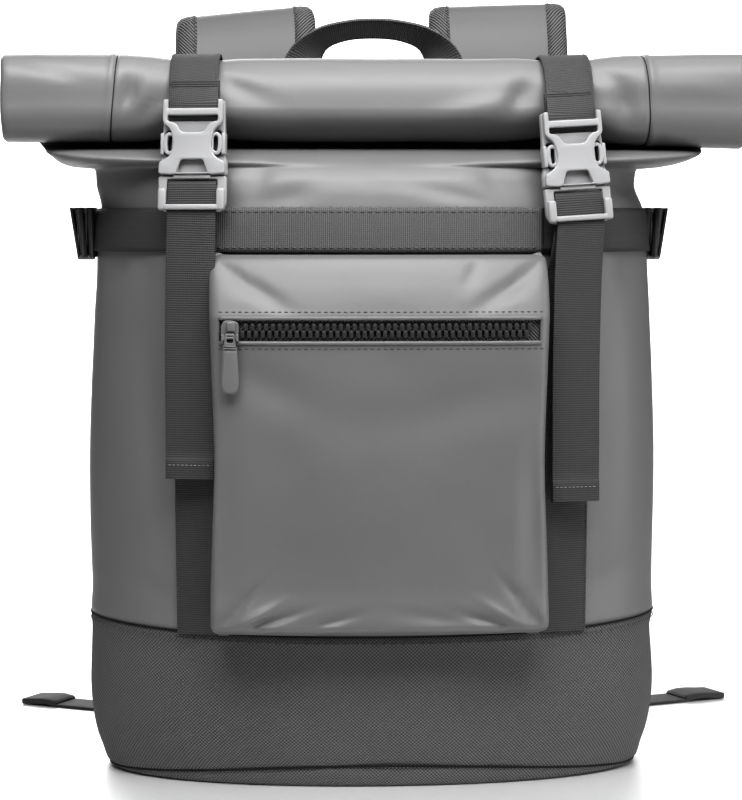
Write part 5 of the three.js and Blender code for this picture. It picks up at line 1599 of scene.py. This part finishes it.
PAD_PATH = (
    {"rise": 0.0, "back": 0.0, "spread": 1.0, "width": 0.86, "thickness": 0.4},
    {"rise": 0.22, "back": 0.03, "spread": 1.0, "width": 0.94, "thickness": 0.7},
    {"rise": 0.6, "back": 0.1, "spread": 1.0, "width": 1.0, "thickness": 0.95},
    {"rise": 0.85, "back": 0.2, "spread": 1.0, "width": 1.0, "thickness": 1.0},
    {"rise": 0.97, "back": 0.34, "spread": 1.0, "width": 1.0, "thickness": 1.0},
    {"rise": 1.0, "back": 0.5, "spread": 1.01, "width": 1.0, "thickness": 1.0},
    {"rise": 0.95, "back": 0.7, "spread": 1.02, "width": 1.0, "thickness": 1.0},
    {"rise": 0.8, "back": 0.87, "spread": 1.04, "width": 0.98, "thickness": 1.0},
    {"rise": 0.55, "back": 0.97, "spread": 1.08, "width": 0.95, "thickness": 1.0},
    {"rise": 0.2, "back": 1.0, "spread": 1.14, "width": 0.92, "thickness": 1.0},
    {"rise": -0.3, "back": 0.94, "spread": 1.22, "width": 0.88, "thickness": 1.0},
    {"rise": -0.8, "back": 0.82, "spread": 1.3, "width": 0.84, "thickness": 0.9},
    {"rise": -1.2, "back": 0.72, "spread": 1.34, "width": 0.74, "thickness": 0.6},
)

# A pad's section: flat faces that puff a little and rounded edges.
PAD_SECTION = (
    (-1, 0), (-0.985, -0.45), (-0.93, -0.8), (-0.84, -0.95), (-0.75, -1), (-0.5, -1.04), (-0.25, -1.06),
    (0, -1.07), (0.25, -1.06), (0.5, -1.04), (0.75, -1), (0.84, -0.95), (0.93, -0.8), (0.985, -0.45),
    (1, 0), (0.985, 0.45), (0.93, 0.8), (0.84, 0.95), (0.75, 1), (0.5, 1.04), (0.25, 1.06),
    (0, 1.07), (-0.25, 1.06), (-0.5, 1.04), (-0.75, 1), (-0.84, 0.95), (-0.93, 0.8), (-0.985, 0.45),
)
# The tape bound round a pad's edge
BINDING_SECTION = (
    (0.72, -1.1), (0.84, -1.06), (0.94, -0.9), (1.0, -0.5), (1.02, 0),
    (1.0, 0.5), (0.94, 0.9), (0.84, 1.06), (0.72, 1.1),
)


def pad_stations(side):
    start = YOKE_BOTTOM + 4
    tilt = PAD_TILT if side < 0 else PAD_TILT / 3
    start_y = yoke_outside(0, start) + GAP + PAD_THICKNESS * PAD_PATH[0]["thickness"] / 2 + WEB + 2 * GAP
    top = PAD_TOP - (PAD_LEFT_DROP if side < 0 else 0)
    made = []
    for row in PAD_PATH:
        if row["rise"] < 0:
            z = mix(start, PAD_END_HEIGHT, row["rise"] / PAD_PATH[-1]["rise"])
        else:
            z = mix(start, top, row["rise"])
        high = ease(row["rise"] * 2)
        x = side * PAD_SPREAD * row["spread"] + PAD_SHIFT * high
        at = (x, start_y + row["back"] * PAD_LOOP_DEPTH, z)
        width, thickness = row["width"] * PAD_WIDTH, row["thickness"] * PAD_THICKNESS
        made.append(station(at, (1, 0, tilt * high), width, thickness))
    return made


def build_shoulder_straps():
    for side, name in ((-1, "left"), (1, "right")):
        rows = softened(pad_stations(side), 7)
        bm = ribbon_mesh(rows, PAD_SECTION)
        pad = finish_piece(f"shoulder strap {name}", bm, "pad", f"shoulder_strap_{name}")
        for way, edge in ((-1, "inner"), (1, "outer")):
            section = [(way * side * across, up) for across, up in BINDING_SECTION]

            def surface(i, j, section=section, rows=rows):
                return on_ribbon(rows[j], *section[i])

            bm = cloth_grid(len(section) - 1, len(rows) - 1, surface)
            turn_outward(bm, Vector((side * PAD_SPREAD * 1.05, 110, 400)))
            finish_piece(f"binding {edge} {name}", bm, "twill", None, wall=0.6)
            for up in (-1.1, 1.1):
                points = [on_ribbon(row, way * side * 0.75, up) for row in rows]
                stitch(points, [row["up"] * math.copysign(1, up) for row in rows])
        build_lower_webbing(name, side, rows[-1]["at"])


def build_lower_webbing(name, side, pad_end):
    lock_at = Vector((pad_end.x, pad_end.y, pad_end.z - PAD_END_DROP - LOCK_LENGTH / 2))
    half = LOWER_WEB_WIDTH / 2 + GAP
    wide = half + 4
    tall = LOCK_LENGTH / 2
    holes = [rounded_window(-half, half, *ends, 0.8) for ends in ((2.4, tall - 4), (-tall + 0.6, -2.4))]
    lock = moulded_mesh([rounded_window(-wide, wide, -tall, tall, 3)] + holes, LOCK_THICKNESS, 0, 0.7)
    merge(lock, rounded_box(2 * half + 1, 2, 4.4, (0, 4.2, -9.8), 0.6))
    for way in (-1, 1):
        merge(lock, rounded_box(3.8, 5.2, 11, (way * (half + 2), 2.6, -6.4), 0.8))
    bmesh.ops.translate(lock, verts=lock.verts, vec=lock_at)
    node = f"strap_lock_{name}"
    finish_piece(f"strap lock {name}", lock, "dark plastic", node, sharp=35)

    anchor_x = side * (BODY_WIDTH / 2 - ANCHOR_WIDTH - ANCHOR_INSET)

    def patch(i, j):
        up = j / 10
        half_wide = mix(ANCHOR_WIDTH / 2, LOWER_WEB_WIDTH / 2, up)
        x = anchor_x + side * mix(-half_wide, half_wide, i / 20)
        z = ANCHOR_BOTTOM + up * ANCHOR_HEIGHT
        return Vector((x, back_y(x, z) + GAP + YOKE_THICKNESS, z))

    bm = cloth_grid(20, 10, patch)
    turn_outward(bm, Vector((0, -100, 110)))
    node = f"strap_anchor_{name}"
    finish_piece(f"strap anchor {name}", bm, "base", node, wall=YOKE_THICKNESS)

    patch_z = ANCHOR_BOTTOM + ANCHOR_HEIGHT / 2
    patch_y = back_y(anchor_x, patch_z) + 2 * GAP + YOKE_THICKNESS + WEB / 2
    flat = Vector((1, 0, 0))
    lock_low = lock_at.z - LOCK_LENGTH / 2
    stations = [
        station((anchor_x, patch_y + 0.3, patch_z - 14), along_surface(back_y, anchor_x, patch_z)),
        station((anchor_x, patch_y + 0.3, patch_z + 8), along_surface(back_y, anchor_x, patch_z)),
        station((anchor_x, patch_y + 6, patch_z + 16), flat),
        station(
            (mix(anchor_x, lock_at.x, 0.5), mix(patch_y, lock_at.y - LOOP_RADIUS, 0.6), lock_low - 8), flat
        ),
        station((lock_at.x, lock_at.y - LOOP_RADIUS - 1, lock_low - 1), flat),
    ]
    for point in around_bar(1.5, math.pi / 2, -math.pi / 2):
        stations.append(station(point + lock_at, flat))
    floor_z = FLOOR_AIR + WEB / 2
    start = Vector((lock_at.x, lock_at.y + LOOP_RADIUS, 0))
    end = Vector((side * (LOWER_TAIL_REACH + LOWER_TAIL_EXTRA[name]), LOWER_TAIL_BACK, floor_z))
    touch = start + Vector((side * FLOOR_TURN_OUT, FLOOR_TURN_BACK, 0))
    outward = Vector((end.x - touch.x, end.y - touch.y, 0)).normalized()
    sideways = Vector((outward.y, -outward.x, 0))
    stations += [
        station((start.x, start.y, lock_low - 4), flat),
        station((start.x + side, start.y + 1, lock_at.z - 60), flat),
        station((start.x + side * 3, start.y + 2, 40), flat.lerp(sideways, 0.3)),
        station(start + outward * 5 + Vector((0, 0, 14)), flat.lerp(sideways, 0.8)),
    ]
    double = 2 * WEB + GAP
    folded = (WEB + GAP) / 2
    for share, lift, thickness in (
        (0, 3, WEB), (0.22, 0.2, WEB), (0.6, 0, WEB), (0.77, 0, WEB), (0.78, 0, WEB),
        (0.79, folded, double), (1, folded, double),
    ):
        at = (mix(touch.x, end.x, share), mix(touch.y, end.y, share), floor_z + lift)
        stations.append(station(at, sideways, LOWER_WEB_WIDTH, thickness))
    for row in stations:
        row["width"] = LOWER_WEB_WIDTH
    ribbon_piece(f"lower strap {name}", stations, "web", f"lower_strap_{name}")


SEAM_WIDTH = 0.9
BASE_STITCH_DROP = 3.4


def build_seams():
    ring = [k / 260 for k in range(261)]
    points = [on_section(bag_section(BASE_HEIGHT + 0.3), t, 0.15) for t in ring]
    for point in points:
        point.z += seam_rise(point.x)
    rows = softened([station(p, (0, 0, 1), SEAM_WIDTH, 0.7) for p in points], 1)
    finish_piece("base seam", ribbon_mesh(rows, ROUND_SECTION), "seam", None)
    low = [on_section(dict(bag_section(BASE_HEIGHT), z=BASE_HEIGHT - BASE_STITCH_DROP), t, 0.1) for t in ring]
    for point in low:
        point.z += seam_rise(point.x)
    normals = [Vector((p.x / BODY_WIDTH, (p.y + 4) / BODY_DEPTH, 0)).normalized() for p in low]
    stitch(low, normals, "thread", pitch=3.6, length=2.6, width=0.8)
    bottom = [base_point(t, bottom_seam_step(t), -0.7) for t in ring]
    for point in bottom:
        point.z += seam_rise(point.x) * ease(point.z / BASE_HEIGHT)
    rows = softened([station(p, (0, 0, 1), 1.3, 0.9) for p in bottom], 1)
    finish_piece("bottom seam", ribbon_mesh(rows, ROUND_SECTION), "seam", None)
    for seam in ROLL_SEAMS:
        points = []
        for k in range(51):
            turn = mix(0.02, 0.88, k / 50)
            angle = turn * 2 * math.pi
            drift = seam_drift(seam, math.cos(angle), math.sin(angle))
            points.append(roll_point(seam + drift, turn, TUBE_THICKNESS / 2 + 0.15))
        rows = softened([station(p, (1, 0, 0), 0.6, 0.5) for p in points], 1)
        name = "roll seam left" if seam < 0 else "roll seam right"
        finish_piece(name, ribbon_mesh(rows, ROUND_SECTION), "seam", None)


def finish_threads():
    for name, bm in threads.items():
        if bm.verts:
            finish_piece(f"stitching {name}", bm, name, None)


# The studio: a pale floor, a bright wall behind, and soft lights above, beside and behind
FLOOR_SIZE = 6
FLOOR_METAL = 0.62
FLOOR_TONES = (0.45, 0.93)
FLOOR_BLEND = (-0.75, -0.17)
WALL_SIZE = 1.5
WALL_PLACE = (0, 3.2, 1.4)
WALL_GLOW = 1.5
ROOM_GLOW = 0.1


LIGHTS = (
    {"name": "near softbox", "at": (-0.02, -0.54, 0.88), "aim": (0.0, -0.05, 0.34),
     "size": (0.9, 0.42), "watts": 8.8},
    {"name": "overhead softbox", "at": (0.25, -0.1, 2.2), "aim": (0.0, -0.05, 0.25),
     "size": (1.8, 1.2), "watts": 12},
    {"name": "left floor bounce", "at": (-0.75, -0.7, 0.04), "aim": (-0.2, -0.05, 0.36),
     "size": (0.5, 0.4), "watts": 0.9},
    {"name": "right floor bounce", "at": (0.75, -0.7, 0.04), "aim": (0.2, -0.05, 0.36),
     "size": (0.5, 0.4), "watts": 0.9},
    {"name": "back softbox", "at": (-0.5, 1.7, 1.1), "aim": (0.0, 0.1, 0.25),
     "size": (1.3, 1.0), "watts": 9},
    {"name": "right fill", "at": (2.4, -0.9, 0.8), "aim": (0.0, 0.0, 0.25),
     "size": (1.2, 1.6), "watts": 17},
)


def area_light(name, place, aim, size, power):
    lamp = bpy.data.lights.new(name, "AREA")
    lamp.shape = "RECTANGLE"
    lamp.size, lamp.size_y = size
    lamp.energy = power
    holder = bpy.data.objects.new(name, lamp)
    holder.location = place
    holder.rotation_euler = (Vector(aim) - Vector(place)).to_track_quat("-Z", "Y").to_euler()
    bpy.context.scene.collection.objects.link(holder)
    return holder


def stage_piece(name, bm, material):
    mesh = bpy.data.meshes.new(name)
    bm.to_mesh(mesh)
    bm.free()
    mesh.materials.append(material)
    piece = bpy.data.objects.new(name, mesh)
    bpy.context.scene.collection.objects.link(piece)


def build_studio():
    world = bpy.context.scene.world or bpy.data.worlds.new("studio")
    bpy.context.scene.world = world
    world.use_nodes = True
    room = world.node_tree.nodes["Background"]
    room.inputs["Color"].default_value = (1, 1, 1, 1)
    room.inputs["Strength"].default_value = ROOM_GLOW

    floor = bmesh.new()
    bmesh.ops.create_grid(floor, x_segments=1, y_segments=1, size=FLOOR_SIZE)
    material, tree, shader = new_material("pale satin floor", color=0.9, roughness=0.5)
    shader.inputs["Metallic"].default_value = FLOOR_METAL
    place = tree.nodes.new("ShaderNodeTexCoord")
    parts = tree.nodes.new("ShaderNodeSeparateXYZ")
    tree.links.new(place.outputs["Object"], parts.inputs["Vector"])
    ramp = shade_between(tree, shader, parts.outputs["Y"], *FLOOR_TONES)
    ramp.interpolation_type = "SMOOTHSTEP"
    ramp.inputs["From Min"].default_value, ramp.inputs["From Max"].default_value = FLOOR_BLEND
    stage_piece("floor", floor, material)

    wall = bmesh.new()
    bmesh.ops.create_grid(wall, x_segments=1, y_segments=1, size=WALL_SIZE)
    upright = Matrix.Rotation(math.pi / 2, 3, "X")
    bmesh.ops.rotate(wall, verts=wall.verts, cent=(0, 0, 0), matrix=upright)
    bmesh.ops.translate(wall, verts=wall.verts, vec=WALL_PLACE)
    glow = bpy.data.materials.new("bright backdrop")
    glow.use_nodes = True
    glow.node_tree.nodes.clear()
    light = glow.node_tree.nodes.new("ShaderNodeEmission")
    light.inputs["Strength"].default_value = WALL_GLOW
    output = glow.node_tree.nodes.new("ShaderNodeOutputMaterial")
    glow.node_tree.links.new(light.outputs["Emission"], output.inputs["Surface"])
    stage_piece("backdrop", wall, glow)

    for light in LIGHTS:
        area_light(light["name"], light["at"], light["aim"], light["size"], light["watts"])


def build_camera():
    data = bpy.data.cameras.new("photo camera")
    data.lens = CAMERA_LENS
    data.sensor_width = CAMERA_SENSOR
    data.clip_start = 0.05
    data.clip_end = 50
    camera = bpy.data.objects.new("photo camera", data)
    camera.location = (Vector(CAMERA_PLACE) + SHIFT) / 1000
    camera.rotation_euler = (math.pi / 2 - CAMERA_PITCH, 0, CAMERA_YAW)
    bpy.context.scene.collection.objects.link(camera)
    bpy.context.scene.camera = camera


build_body()
build_base()
build_roll()
build_pocket()
build_zipper()
build_band()
build_side_adjusters()
for side, name in ((-1, "left"), (1, "right")):
    matrix = buckle_matrix(side)
    build_socket(name, matrix)
    build_plug(name, matrix)
    build_roll_strap(name, side, matrix)
    build_front_strap(name, side, matrix)
build_yoke()
build_handle()
build_shoulder_straps()
build_seams()
finish_threads()
build_studio()
build_camera()

bpy.context.scene.view_settings.view_transform = "Standard"
bpy.context.scene.view_settings.look = "High Contrast"
